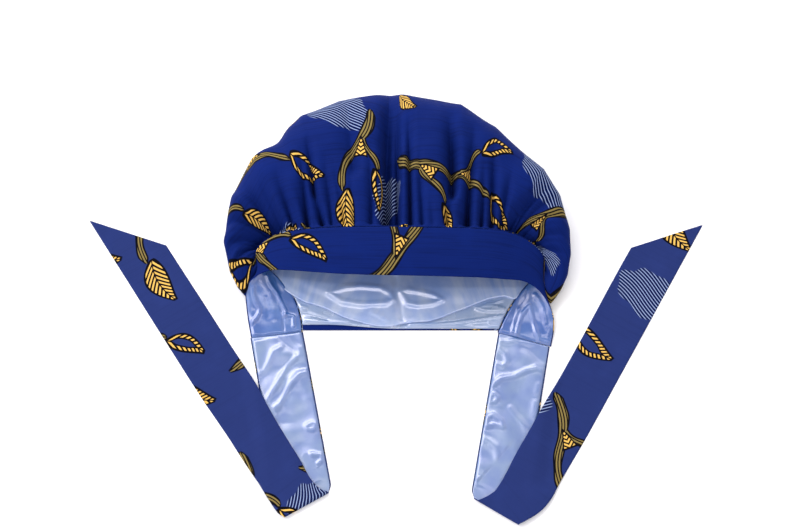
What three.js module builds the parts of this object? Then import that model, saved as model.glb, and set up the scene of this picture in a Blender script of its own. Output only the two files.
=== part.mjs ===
// A satin-lined bonnet with two ties, laid flat on a table, face up, with its mouth towards -Y.
// Sizes are in millimetres. X runs to the wearer's left as the bonnet lies, Z is up, and the table is Z = 0.
import * as THREE from "three";

// Cloth
const CLOTH = 1.0; // thickness of one layer, with its seam allowance pressed flat
const GAP = 0.3; // the room between a layer and its lining, and across a seam
const LYING = CLOTH + GAP / 2; // height of the middle of a lined piece that lies on the table

// Ties
const TIE_WIDTH = 48.5;
const FOLD_RADIUS = 2.85; // of the middle of the two layers, where a tie turns back over itself
const FOLD_LIFT = 2 * FOLD_RADIUS; // how much higher the turned part starts
const OVER_LIFT = 2 * CLOTH + 2 * GAP; // how much higher it lies where it crosses the first part
const SETTLE = 60; // length over which it comes down from the one to the other

// The whole lay is moved by this, so that the middle of its box is over the origin.
const MIDDLE = new THREE.Vector3(-0.75, 4.1, 0);

// Nape casing
const HEM_Y = -24.0; // front edge of the nape hem
const CASING_BACK_Y = 9.5; // back edge, where the crown is sewn on

function table(columns, rows) {
  return rows.map((row) => Object.fromEntries(row.map((value, i) => [columns[i], value])));
}

// The front band from the left tie seam, round the left rim, over the top and round the right rim, to the right
// tie seam.
// m is its free edge at the mouth, c is the edge that is sewn to the crown, at is the place along the band.
const BAND = table(
  ["at", "mx", "my", "mz", "cx", "cy", "cz"],
  [
    [0, -134, -32, LYING, -86.5, -26, LYING],
    [1, -137.5, -14, 2.2, -88, -13, 1.3],
    [2, -139.5, 1, 4.5, -93, 3, 1.8],
    [3, -140, 12, 8.5, -103, 19, 3],
    [4, -136, 20, 12.5, -117, 33, 6],
    [5, -129, 24.5, 17, -129, 41.5, 11.5],
    [6, -121, 27, 20.5, -130, 48, 20],
    [7, -112, 27.3, 24.5, -121, 55, 28],
    [8, -97, 25, 29, -104, 59.5, 36],
    [9, -74, 21.5, 33, -81, 61, 42],
    [10, -47, 18.3, 36.5, -52, 61, 46.5],
    [11, -15, 16.3, 39, -17, 60, 49.5],
    [12, 20, 15.6, 39, 20, 59.3, 50],
    [13, 55, 15.4, 37, 58, 59.6, 48],
    [14, 84, 15.6, 33.5, 92, 59.8, 43],
    [15, 104, 16, 28.5, 113, 57.5, 36.5],
    [16, 119, 16.5, 23.5, 129, 51.5, 28],
    [17, 130, 13, 18.5, 139, 43, 20],
    [18, 139, 5.5, 13.5, 140, 34, 12.5],
    [19, 145, -4, 9.5, 131, 25.5, 8],
    [20, 148.3, -15, 6, 119, 13, 4.5],
    [21, 148, -27, 3, 107, -4, 2.2],
    [22, 145.3, -40.6, LYING, 96, -26.8, LYING],
  ],
);

// The crown in sections from its left corner to its right corner. Each section starts at the band (place from),
// goes up by bulge and out to the rim at rx, ry and height rz, rolls under over roll, and ends at ex, ey, ez.
const CROWN = table(
  ["at", "from", "rx", "ry", "rz", "bulge", "roll", "ex", "ey", "ez"],
  [
    [0.0, 5.15, -139, 37, 10, 0.5, 3, -130, 41.5, 7.6],
    [0.03, 5.5, -146, 16, 9.5, 1, 5, -128, 40.5, 6.2],
    [0.07, 6.0, -154, 28, 14, 3, 8, -125, 38.8, 4.6],
    [0.12, 6.6, -160.5, 50, 19, 7, 12, -121.5, 37, 3.2],
    [0.17, 7.1, -160.5, 75, 21, 11, 16, -115, 34, 2.2],
    [0.22, 7.7, -154.5, 103, 23, 16, 19, -106, 27, 1.4],
    [0.27, 8.2, -138.5, 136, 25, 20, 22, -97.5, 15.5, LYING],
    [0.32, 8.9, -115, 156, 27, 23, 24, -84, CASING_BACK_Y, LYING],
    [0.37, 9.5, -92.5, 181, 29, 24, 26, -66, CASING_BACK_Y, LYING],
    [0.43, 10.3, -55, 198, 32, 25, 27, -40, CASING_BACK_Y, LYING],
    [0.5, 11.2, -8, 202.5, 33, 25, 28, -4, CASING_BACK_Y, LYING],
    [0.57, 12.2, 23, 201, 33, 25, 28, 27, CASING_BACK_Y, LYING],
    [0.63, 13.1, 64, 194, 32, 24, 27, 54, CASING_BACK_Y, LYING],
    [0.69, 13.9, 100, 168.5, 30, 23, 26, 78, CASING_BACK_Y, LYING],
    [0.75, 14.6, 139.5, 132, 27, 20, 24, 97, CASING_BACK_Y, LYING],
    [0.8, 15.2, 155.5, 105, 24, 17, 20, 110, 10, LYING],
    [0.85, 15.8, 164.3, 72, 21, 12, 17, 118, 16, 1.6],
    [0.9, 16.4, 165.3, 46, 18, 8, 12, 125.5, 23, 2.6],
    [0.95, 17.1, 161.5, 25, 14, 4, 8, 131.5, 28.8, 3.8],
    [0.98, 17.6, 154, 7, 9.5, 1, 5, 135.5, 32.5, 5.4],
    [1.0, 17.9, 149, 27, 9.5, 0.5, 3, 138, 34.8, 6.8],
  ],
);

// The deeper gathers of the crown: where they start, their depth and width, and how far they run to the rim.
const GATHERS = table(
  ["at", "depth", "width", "reach"],
  [
    [0.19, 3.0, 0.014, 0.75],
    [0.27, 3.5, 0.012, 0.8],
    [0.345, 4.5, 0.012, 0.85],
    [0.4, 3.0, 0.01, 0.6],
    [0.46, 6.0, 0.011, 0.95],
    [0.52, 5.5, 0.012, 0.95],
    [0.585, 3.5, 0.011, 0.7],
    [0.63, 5.5, 0.012, 0.9],
    [0.7, 4.5, 0.013, 0.8],
    [0.78, 3.5, 0.013, 0.7],
  ],
);

// How far forward the crown's lining falls over the nape casing, and how high it stands there.
const LINING_FALL = table(
  ["x", "y", "top"],
  [
    [-100, 8.5, 6],
    [-70, 0, 7.5],
    [-46, -9, 9],
    [-14, -18, 10],
    [17, -20.5, 10],
    [53, -11, 9],
    [80, -1.5, 7.5],
    [110, 8.5, 6],
  ],
);

// Each tie as it lies: where it starts, its first direction, the line it is folded on, and its slanted end.
// first and fold are angles in degrees from +X, and head is the slant of its seam. Past the fold the second part
// runs straight for wait, then swings back by turn and slips sideways by slip, both within swing millimetres.
const TIES = table(
  ["name", "sx", "sy", "first", "head", "down", "fold", "wait", "turn", "slip", "swing", "back", "slant"],
  [
    ["left", -110.4, -29.3, -78.6, 3.7, 163.0, 209.5, 8, -15.2, -0.8, 32, 347.0, 62],
    ["right", 120.4, -34.0, -100.3, 5.2, 163.0, -31.0, 14, 22.2, 5.2, 28, 338.0, 52],
  ],
);

const lerp = (a, b, t) => a + (b - a) * t;
const smooth = (t) => {
  const c = Math.min(1, Math.max(0, t));
  return c * c * (3 - 2 * c);
};
const radians = (degrees) => (degrees * Math.PI) / 180;

// A column of a table at any place between its rows, as a smooth curve through them.
function read(rows, key, column, place) {
  let i = 0;
  while (i < rows.length - 2 && rows[i + 1][key] < place) i += 1;
  const [a, b] = [rows[i], rows[i + 1]];
  const span = b[key] - a[key];
  const t = (place - a[key]) / span;
  const before = rows[i - 1] ?? a;
  const after = rows[i + 2] ?? b;
  const slopeA = ((b[column] - before[column]) / (b[key] - before[key])) * span;
  const slopeB = ((after[column] - a[column]) / (after[key] - a[key])) * span;
  const t2 = t * t;
  const t3 = t2 * t;
  return (
    (2 * t3 - 3 * t2 + 1) * a[column] +
    (t3 - 2 * t2 + t) * slopeA +
    (3 * t2 - 2 * t3) * b[column] +
    (t3 - t2) * slopeB
  );
}

function bandPoint(place, across) {
  const at = (column) => read(BAND, "at", column, place);
  const round = 1.5 * Math.sin(Math.PI * across) * Math.sin((Math.PI * place) / 22);
  return new THREE.Vector3(
    lerp(at("mx"), at("cx"), across),
    lerp(at("my"), at("cy"), across),
    lerp(at("mz"), at("cz"), across) + round,
  );
}

// Half of a section's length goes over the top, a sixth round the rim, and the rest back along the table.
const TOP_SHARE = 0.56;
const RIM_SHARE = 0.2;

function gatherDepth(at, over) {
  return GATHERS.reduce((sum, g) => {
    const near = Math.exp(-(((at - g.at) / g.width) ** 2));
    const start = lerp(0.3, 1, smooth(over / 0.15));
    return sum + g.depth * near * start * (1 - smooth(over / g.reach));
  }, 0);
}

function crownPoint(at, along) {
  const of = (column) => read(CROWN, "at", column, at);
  const start = bandPoint(of("from"), 1);
  const rim = new THREE.Vector3(of("rx"), of("ry"), of("rz"));
  const end = new THREE.Vector3(of("ex"), of("ey"), of("ez"));
  const away = rim.clone().sub(start).setZ(0).normalize();
  const corner = 2 - smooth(at / 0.2) - smooth((1 - at) / 0.2);
  start.addScaledVector(away, lerp(0.9, 3.2, corner)).setZ(start.z + 0.2);
  const back = end.clone().sub(rim).setZ(0);
  const reach = back.length();
  const roll = Math.min(of("roll"), 0.45 * reach);
  back.normalize();
  if (along <= TOP_SHARE) {
    const turn = ((along / TOP_SHARE) * Math.PI) / 2;
    const over = Math.sin(turn);
    const point = start.clone().lerp(rim, over);
    const height = lerp(rim.z, start.z, Math.cos(turn)) + of("bulge") * Math.sin(2 * turn);
    return point.setZ(height - gatherDepth(at, over));
  }
  if (along <= TOP_SHARE + RIM_SHARE) {
    const turn = (((along - TOP_SHARE) / RIM_SHARE) * Math.PI) / 2;
    const point = rim.clone().addScaledVector(back, roll * (1 - Math.cos(turn)));
    return point.setZ(lerp(rim.z, LYING, Math.sin(turn)));
  }
  const rest = (along - TOP_SHARE - RIM_SHARE) / (1 - TOP_SHARE - RIM_SHARE);
  const point = rim.clone().addScaledVector(back, lerp(roll, reach, rest));
  return point.setZ(lerp(LYING, end.z, smooth((rest - 0.4) / 0.6)));
}

// The lining follows the crown, then falls forward over the nape casing and turns back under to its seam.
const FALL_START = 0.9;

function liningPoint(at, along) {
  if (along <= FALL_START) return crownPoint(at, along);
  const from = crownPoint(at, FALL_START);
  const seam = crownPoint(at, 1);
  const plain = crownPoint(at, along);
  const full = smooth((seam.x + 102) / 14) * smooth((113 - seam.x) / 12);
  if (full <= 0) return plain;
  const fallen = Math.min(seam.y - 1, read(LINING_FALL, "x", "y", seam.x)) + 2;
  const top = read(LINING_FALL, "x", "top", seam.x);
  const under = LYING + 2 * (CLOTH + GAP);
  const t = (along - FALL_START) / (1 - FALL_START);
  const folded = new THREE.Vector3(seam.x, fallen, under);
  if (t < 0.3) {
    const step = t / 0.3;
    folded.set(seam.x, seam.y + 3, under + 1.6);
    folded.set(lerp(from.x, folded.x, step), lerp(from.y, folded.y, step), lerp(from.z, folded.z, smooth(step)));
  } else if (t < 0.55) {
    const step = (t - 0.3) / 0.25;
    folded.set(seam.x, lerp(seam.y + 3, fallen, step), lerp(under + 1.6, top, smooth(step)));
  } else if (t < 0.8) {
    const turn = ((t - 0.55) / 0.25) * Math.PI;
    const half = (top - under) / 2;
    folded.set(seam.x, fallen - half * Math.sin(turn), under + half * (1 + Math.cos(turn)));
  } else {
    folded.setY(lerp(fallen, seam.y, (t - 0.8) / 0.2));
  }
  return plain.lerp(folded, full);
}

// A tie: a flat strip, turned back over itself on a slanting line, lying over its own first part and then on the
// table.
function tiePoint(tie, length, across) {
  const first = new THREE.Vector2(Math.cos(radians(tie.first)), Math.sin(radians(tie.first)));
  const right = new THREE.Vector2(-first.y, first.x);
  const side = (across - 0.5) * TIE_WIDTH;
  const flat = new THREE.Vector2(tie.sx, tie.sy).addScaledVector(first, length).addScaledVector(right, side);
  const corner = new THREE.Vector2(tie.sx, tie.sy).addScaledVector(first, tie.down);
  const fold = new THREE.Vector2(Math.cos(radians(tie.fold)), Math.sin(radians(tie.fold)));
  const past = new THREE.Vector2(-fold.y, fold.x);
  if (past.dot(first) < 0) past.negate();
  const beyond = flat.clone().sub(corner).dot(past);
  const beside = flat.clone().sub(corner).dot(fold);
  if (beyond <= 0) return new THREE.Vector3(flat.x, flat.y, LYING);
  const half = Math.PI * FOLD_RADIUS;
  if (beyond < half) {
    const angle = beyond / FOLD_RADIUS;
    const out = FOLD_RADIUS * Math.sin(angle);
    const spot = corner.clone().addScaledVector(fold, beside).addScaledVector(past, out);
    return new THREE.Vector3(spot.x, spot.y, LYING + FOLD_RADIUS * (1 - Math.cos(angle)));
  }
  const back = beyond - half;
  const mirrored = first.clone().sub(past.clone().multiplyScalar(2 * first.dot(past)));
  const sideways = right.clone().sub(past.clone().multiplyScalar(2 * right.dot(past)));
  // The middle line of the turned part, in short steps.
  const run = length - tie.down - half;
  const steps = 24;
  const middle = corner.clone();
  const eased = (s) => smooth((s - tie.wait) / tie.swing);
  const heading = (s) => radians(tie.turn) * eased(s);
  const turned = (vector, angle) => vector.clone().rotateAround(new THREE.Vector2(), angle);
  for (let i = 0; i < steps; i += 1) {
    const s = ((i + 0.5) / steps) * run;
    middle.addScaledVector(turned(mirrored, run > 0 ? heading(s) : 0), run / steps);
  }
  const slipped = side + tie.slip * (run > 0 ? eased(run) : 0);
  const spot = middle.addScaledVector(turned(sideways, run > 0 ? heading(run) : 0), slipped);
  // Height: high at the fold, resting on the first part, then down to the table past its outer edge.
  const outward = right.clone().multiplyScalar(tie.name === "left" ? -1 : 1);
  const off = spot.clone().sub(corner).dot(outward) - TIE_WIDTH / 2;
  const resting = OVER_LIFT * (1 - smooth((off - 2) / 16));
  const lift = lerp(FOLD_LIFT, resting, smooth(back / SETTLE));
  return new THREE.Vector3(spot.x, spot.y, LYING + lift);
}

// Closed sheet of cloth between two distances from a surface, along its normal.
function sheet(name, colour, columns, rows, surface, low, high) {
  const step = 1e-3;
  const points = [];
  for (const depth of [high, low]) {
    for (let j = 0; j <= rows.length - 1; j += 1) {
      for (let i = 0; i <= columns.length - 1; i += 1) {
        const [u, v] = [columns[i], rows[j]];
        const [u0, u1] = [Math.max(0, u - step), Math.min(1, u + step)];
        const [v0, v1] = [Math.max(0, v - step), Math.min(1, v + step)];
        const alongU = surface(u1, v).sub(surface(u0, v));
        const alongV = surface(u, v1).sub(surface(u, v0));
        const normal = alongU.cross(alongV).normalize();
        points.push(surface(u, v).addScaledVector(normal, depth).add(MIDDLE));
      }
    }
  }
  const wide = columns.length;
  const tall = rows.length;
  const at = (side, j, i) => side * wide * tall + j * wide + i;
  const faces = [];
  const quad = (a, b, c, d) => faces.push(a, b, c, a, c, d);
  for (let j = 0; j < tall - 1; j += 1) {
    for (let i = 0; i < wide - 1; i += 1) {
      quad(at(0, j, i), at(0, j, i + 1), at(0, j + 1, i + 1), at(0, j + 1, i));
      quad(at(1, j, i), at(1, j + 1, i), at(1, j + 1, i + 1), at(1, j, i + 1));
    }
  }
  for (let i = 0; i < wide - 1; i += 1) {
    quad(at(1, 0, i), at(1, 0, i + 1), at(0, 0, i + 1), at(0, 0, i));
    quad(at(0, tall - 1, i), at(0, tall - 1, i + 1), at(1, tall - 1, i + 1), at(1, tall - 1, i));
  }
  for (let j = 0; j < tall - 1; j += 1) {
    quad(at(0, j, 0), at(0, j + 1, 0), at(1, j + 1, 0), at(1, j, 0));
    quad(at(1, j, wide - 1), at(1, j + 1, wide - 1), at(0, j + 1, wide - 1), at(0, j, wide - 1));
  }
  const geometry = new THREE.BufferGeometry();
  const numbers = points.flatMap((p) => [p.x, p.y, p.z]);
  geometry.setAttribute("position", new THREE.Float32BufferAttribute(numbers, 3));
  geometry.setIndex(faces);
  geometry.computeVertexNormals();
  const material = new THREE.MeshStandardMaterial({ color: colour, roughness: 0.6, side: THREE.FrontSide });
  const mesh = new THREE.Mesh(geometry, material);
  mesh.name = name;
  return mesh;
}

function evenly(count, from = 0, to = 1) {
  return Array.from({ length: count + 1 }, (_, i) => lerp(from, to, i / count));
}

const PRINT_BLUE = 0x14266e;
const SATIN_BLUE = 0x9db8e0;
const NEAR = GAP / 2;
const FAR = GAP / 2 + CLOTH;

const bonnet = new THREE.Group();

// Crown and its lining
// A section on each side of every gather and one in it, with plain ones between them.
function sections(from, to) {
  const wanted = GATHERS.flatMap((g) => [g.at - 1.3 * g.width, g.at, g.at + 1.3 * g.width]);
  const plain = evenly(24).filter((at) => wanted.every((other) => Math.abs(other - at) > 0.014));
  return [...wanted, ...plain].filter((at) => at >= from && at <= to).sort((a, b) => a - b);
}
const crownColumns = sections(0, 1);
const crownRows = [
  ...evenly(7, 0, TOP_SHARE),
  ...evenly(3, TOP_SHARE, TOP_SHARE + RIM_SHARE).slice(1),
  ...evenly(2, TOP_SHARE + RIM_SHARE, FALL_START).slice(1),
  ...evenly(2, FALL_START, 1).slice(1),
];
bonnet.add(sheet("crown", PRINT_BLUE, crownColumns, crownRows, crownPoint, NEAR, FAR));
const liningColumns = sections(0.11, 0.89);
const fallRow = (t) => lerp(FALL_START, 1, t);
const lyingRows = crownRows.filter((row) => row <= FALL_START);
const liningRows = [...lyingRows, ...[0.3, 0.55, 0.63, 0.72, 0.8, 1].map(fallRow)];
bonnet.add(sheet("crown_lining", SATIN_BLUE, liningColumns, liningRows, liningPoint, -FAR, -NEAR));

// Front band and its lining
const bandPlace = (u, v) => bandPoint(u * 22, v);
bonnet.add(sheet("front_band", PRINT_BLUE, evenly(44), evenly(2), bandPlace, NEAR, FAR));
bonnet.add(sheet("front_band_lining", SATIN_BLUE, evenly(44), evenly(2), bandPlace, -FAR, -NEAR));

// Nape casing and its lining, between the two ends of the band
function casingPoint(u, v) {
  const y = lerp(CASING_BACK_Y - 2 * GAP, HEM_Y, v);
  const edge = (rows, side) => {
    let place = side < 0 ? 0 : 22;
    for (let i = 0; i < 40; i += 1) {
      const here = read(BAND, "at", "cy", place);
      place += side < 0 ? (y - here) * 0.02 : (here - y) * 0.02;
      place = Math.min(22, Math.max(0, place));
    }
    return read(BAND, "at", "cx", place);
  };
  const left = edge(BAND, -1) + 3.2;
  const right = edge(BAND, 1) - 3.2;
  return new THREE.Vector3(lerp(left, right, u), y, LYING);
}
bonnet.add(sheet("nape_casing", PRINT_BLUE, evenly(10), evenly(2), casingPoint, NEAR, FAR));
bonnet.add(sheet("nape_casing_lining", SATIN_BLUE, evenly(10), evenly(2), casingPoint, -FAR, -NEAR));

// Ties, each a print layer under a satin layer where it starts
for (const tie of TIES) {
  const whole = tie.down + Math.PI * FOLD_RADIUS + tie.back;
  const outerSide = tie.name === "left" ? 0 : 1;
  const lean = Math.tan(radians(90 + tie.first - tie.fold));
  const place = (u, v) => {
    const start = GAP + tie.head * (u - 0.5);
    const end = whole - tie.slant * Math.abs(u - outerSide) * smooth((v - 0.6) / 0.4);
    const length = lerp(start, end, v);
    // Near the fold the rows of the sheet run parallel to it.
    const beyond = length - tie.down;
    const near = smooth((beyond + 60) / 50) * smooth((75 - beyond) / 50);
    return tiePoint(tie, length + lean * (u - 0.5) * TIE_WIDTH * near, u);
  };
  const rowAt = (length) => length / whole;
  const rows = [
    ...evenly(3, 0, rowAt(tie.down - 12)),
    rowAt(tie.down - 1),
    ...evenly(7, rowAt(tie.down), rowAt(tie.down + Math.PI * FOLD_RADIUS + 0.5)),
    ...evenly(8, rowAt(tie.down + 20), rowAt(tie.down + 130)),
    ...evenly(3, rowAt(tie.down + 160), 1),
  ];
  bonnet.add(sheet("tie_" + tie.name + "_print", PRINT_BLUE, evenly(4), rows, place, NEAR, FAR));
  bonnet.add(sheet("tie_" + tie.name + "_satin", SATIN_BLUE, evenly(4), rows, place, -FAR, -NEAR));
}

export default bonnet;
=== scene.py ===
# %% [markdown]
# # A satin-lined bonnet, laid flat
# This lesson dresses a CAD model of a soft bonnet in real cloth. The CAD gives the sizes and the collision shape.
# Here each piece of cloth becomes its own thin sheet with gathers, creases, a woven print or a satin gloss.
# The first cell loads the imported CAD model as a fixed frame.

import math

import bpy
import numpy as np
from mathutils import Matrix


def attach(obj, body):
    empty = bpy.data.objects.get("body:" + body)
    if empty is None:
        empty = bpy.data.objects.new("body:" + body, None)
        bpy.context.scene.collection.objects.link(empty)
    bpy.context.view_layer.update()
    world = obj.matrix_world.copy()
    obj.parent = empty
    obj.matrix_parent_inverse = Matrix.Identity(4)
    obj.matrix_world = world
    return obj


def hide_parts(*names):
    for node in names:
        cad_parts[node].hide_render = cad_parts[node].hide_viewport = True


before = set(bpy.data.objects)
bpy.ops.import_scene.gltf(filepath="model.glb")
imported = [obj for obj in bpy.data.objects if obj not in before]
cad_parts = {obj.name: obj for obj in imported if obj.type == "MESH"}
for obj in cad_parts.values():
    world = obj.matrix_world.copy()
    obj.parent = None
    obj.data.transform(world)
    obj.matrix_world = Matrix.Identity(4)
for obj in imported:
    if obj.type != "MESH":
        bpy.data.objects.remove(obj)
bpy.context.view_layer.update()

# %% [markdown]
# ## Camera
# The bonnet was photographed from nearly overhead, 68 degrees above the table and straight on. A long lens from
# 1.6 m away gives the same gentle perspective. The camera is placed by hand here, because the frame of the picture
# is known, and no helper that fits it to the object could find it.

# %% Camera
AIM = np.array([0.00125, 0.0461, 0.0])
ELEVATION = math.radians(68.0)
DISTANCE = 1.6
FOCAL_PIXELS = 1684.0
PICTURE_WIDTH = 794
SENSOR_MM = 36.0

camera_data = bpy.data.cameras.new("camera")
camera_data.sensor_width = SENSOR_MM
camera_data.lens = FOCAL_PIXELS / PICTURE_WIDTH * SENSOR_MM
camera = bpy.data.objects.new("camera", camera_data)
bpy.context.scene.collection.objects.link(camera)
camera.location = AIM + DISTANCE * np.array([0.0, -math.cos(ELEVATION), math.sin(ELEVATION)])
camera.rotation_euler = (math.pi / 2 - ELEVATION, 0.0, 0.0)
bpy.context.scene.camera = camera
print("lens:", round(camera_data.lens, 2), "mm")

# %% [markdown]
# ## Helpers for curved cloth
# The CAD describes each piece by a few measured rows, and a smooth curve through them. The same rows are repeated
# here, in millimetres, so the cloth lies where the CAD pieces lie. numpy works out thousands of points at once.

# %% Curves through tables
MM = 0.001


def table(columns, rows):
    """The columns of a table by name."""
    return dict(zip(columns.split(), np.array(rows, float).T))


def lerp(a, b, t):
    return a + (b - a) * t


def smooth(t):
    """From 0 at 0 to 1 at 1, with a soft start and end, and level beyond them."""
    c = np.clip(t, 0.0, 1.0)
    return c * c * (3 - 2 * c)


def bump(distance, width):
    """1 in the middle, dying away over the width on both sides."""
    return np.exp(-((distance / width) ** 2))


def read(rows, column, place, key="at"):
    """A column of a table at any place between its rows, as a smooth curve through them."""
    keys, values = rows[key], rows[column]
    i = np.clip(np.searchsorted(keys, place, side="right") - 1, 0, len(keys) - 2)
    before, after = np.maximum(i - 1, 0), np.minimum(i + 2, len(keys) - 1)
    span = keys[i + 1] - keys[i]
    t = (place - keys[i]) / span
    slope_a = (values[i + 1] - values[before]) / (keys[i + 1] - keys[before]) * span
    slope_b = (values[after] - values[i]) / (keys[after] - keys[i]) * span
    t2, t3 = t * t, t * t * t
    return (
        (2 * t3 - 3 * t2 + 1) * values[i]
        + (t3 - 2 * t2 + t) * slope_a
        + (3 * t2 - 2 * t3) * values[i + 1]
        + (t3 - t2) * slope_b
    )


def stack(x, y, z):
    x, y, z = np.broadcast_arrays(x, y, z)
    return np.stack([x, y, z], axis=-1).astype(float)


def running(steps):
    """The length of the way so far, at the ends of its steps."""
    return np.concatenate([[0], np.cumsum(steps)])


print("a value half way between two rows:", read(table("at x", [[0, 0], [1, 10], [2, 0]]), "x", 0.5))

# %% [markdown]
# Real cloth is never perfectly even. A sum of a few long waves in seeded random directions gives a soft, repeatable
# unevenness, and charts give the marks that the eye can point at. A crease is a line through points, with a width
# and a height. A hill is a ring of points: it can rise to a flat top, or be no more than a raised rim, and on satin
# such a rim shows as a closed loop of light.

# %% Unevenness and charted creases
WAVES = 10
PERIODS = 0.7, 1.5  # the waves' periods, as shares of the one that is asked for
RIM_SPREAD = 0.62  # of a hill's slope


def uneven(x, y, period, seed, stretch=1.0):
    """A soft random height between about -1 and 1. stretch makes it longer along x."""
    rng = np.random.default_rng(seed)
    total = np.zeros(np.broadcast(x, y).shape)
    for _ in range(WAVES):
        angle = rng.uniform(0, 2 * math.pi)
        pace = 2 * math.pi / (period * rng.uniform(*PERIODS))
        way = x / stretch * math.cos(angle) + y * math.sin(angle)
        total += np.cos(pace * way + rng.uniform(0, 2 * math.pi))
    return total / math.sqrt(WAVES)


def line_distance(x, y, line):
    """The distance of each place from a line through points."""
    nearest = np.full(np.broadcast(x, y).shape, np.inf)
    for (x1, y1), (x2, y2) in zip(line, line[1:]):
        dx, dy = x2 - x1, y2 - y1
        t = np.clip(((x - x1) * dx + (y - y1) * dy) / (dx * dx + dy * dy), 0, 1)
        nearest = np.minimum(nearest, np.hypot(x - x1 - t * dx, y - y1 - t * dy))
    return nearest


def creases(x, y, chart, wider=1.0, higher=1.0):
    """The height of all creases of a chart, each (width, height, point, point, ...)."""
    total = np.zeros(np.broadcast(x, y).shape)
    for width, height, *line in chart:
        total += height * higher * bump(line_distance(x, y, line), width * wider)
    return total


def flat_hills(x, y, chart):
    """Flat hills with rims, each (rise, width of the slope, height of the rim, corner, corner, ...)."""
    total = np.zeros(np.broadcast(x, y).shape)
    for rise, slope, rim, *ring in chart:
        ring = ring + ring[:1]
        inside = np.zeros(total.shape, bool)
        for (x1, y1), (x2, y2) in zip(ring, ring[1:]):
            if y1 != y2:
                inside ^= ((y1 > y) != (y2 > y)) & (x < (x2 - x1) * (y - y1) / (y2 - y1) + x1)
        far = line_distance(x, y, ring) * np.where(inside, 1, -1)
        total += rise * smooth(far / slope + 0.5) + rim * bump(far, slope * RIM_SPREAD)
    return total


# %% [markdown]
# ## One way to make every sheet
# A sheet of cloth starts as a grid from the Add menu. Its vertices are then moved onto the surface that a function
# describes, and a Solidify modifier gives it the thickness of the cloth. Each sheet gets a UV map in metres of flat
# cloth, so that a print keeps its scale and follows the cloth round every fold.

# %% Sheet builder
PRINT_THICK = 0.50
SATIN_THICK = 0.40
BETWEEN = 0.06  # half of the room between a piece and its lining
SINK = 0.50  # the CAD's layers are thicker, so the cloth lies this much lower
SHIFT = np.array([-0.75, 4.1, 0.0])  # puts the middle of the whole lay over the origin
CLOTH_UV = "cloth"


def normals_of(points):
    across = np.gradient(points, axis=1)
    along = np.gradient(points, axis=0)
    normal = np.cross(across, along)
    return normal / np.maximum(np.linalg.norm(normal, axis=-1, keepdims=True), 1e-9)


def steps_of(points, axis=0):
    """The length of each step from one point of a row or grid to the next, in millimetres."""
    return np.linalg.norm(np.diff(points, axis=axis), axis=-1)


def length_down(points):
    """The length of cloth down each column of a grid, at each of its points."""
    return np.cumsum(np.pad(steps_of(points), ((1, 0), (0, 0))), axis=0)


def area_of(points):
    return float((steps_of(points, 1)[:-1] * steps_of(points)[:, :-1]).sum()) * MM * MM


def grid_of(x, y):
    """Flat cloth positions [row, column, xy] from a value for each column and one for each row or point."""
    return np.stack(np.broadcast_arrays(x, y), axis=-1)


def sheet(name, points, cloth_xy, thickness, upward):
    """Makes a sheet through a grid of points [row, column, xyz] in mm. cloth_xy is its flat cloth position in mm.
    Upward sheets get their thickness on the outer side of the points, the others on the inner side."""
    rows, columns = points.shape[:2]
    bpy.ops.object.select_all(action="DESELECT")
    bpy.ops.mesh.primitive_grid_add(x_subdivisions=columns - 1, y_subdivisions=rows - 1, size=1)
    piece = bpy.context.object
    piece.name = piece.data.name = name
    mesh = piece.data
    place = np.empty(len(mesh.vertices) * 3)
    mesh.vertices.foreach_get("co", place)
    place = place.reshape(-1, 3)
    column = np.rint((place[:, 0] + 0.5) * (columns - 1)).astype(int)
    row = np.rint((place[:, 1] + 0.5) * (rows - 1)).astype(int)
    moved = (points[row, column] + SHIFT - [0, 0, SINK]) * MM
    mesh.vertices.foreach_set("co", moved.astype(np.float32).ravel())
    corner = np.empty(len(mesh.loops), int)
    mesh.loops.foreach_get("vertex_index", corner)
    while mesh.uv_layers:
        mesh.uv_layers.remove(mesh.uv_layers[0])
    layer = mesh.uv_layers.new(name=CLOTH_UV)
    layer.data.foreach_set("uv", (cloth_xy[row, column] * MM)[corner].astype(np.float32).ravel())
    mesh.update()
    solid = piece.modifiers.new("cloth thickness", "SOLIDIFY")
    solid.thickness = thickness * MM
    solid.offset = 1.0 if upward else -1.0
    solid.use_even_offset = False
    bpy.ops.object.modifier_apply(modifier=solid.name)
    bpy.ops.object.shade_smooth()
    print(name, "triangles:", sum(len(face.vertices) - 2 for face in piece.data.polygons))
    return piece


def lined(points, side):
    """Points of the print (side 1) or of the satin (side -1), a little off the surface between them."""
    return points + normals_of(points) * BETWEEN * side


# %% [markdown]
# ## The front band
# A straight band of print goes round the face, with satin behind it. It stands up over the mouth and lies down
# at both ends, where the ties are sewn on. The rows give its free edge (m) and its crown seam (c).

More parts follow.
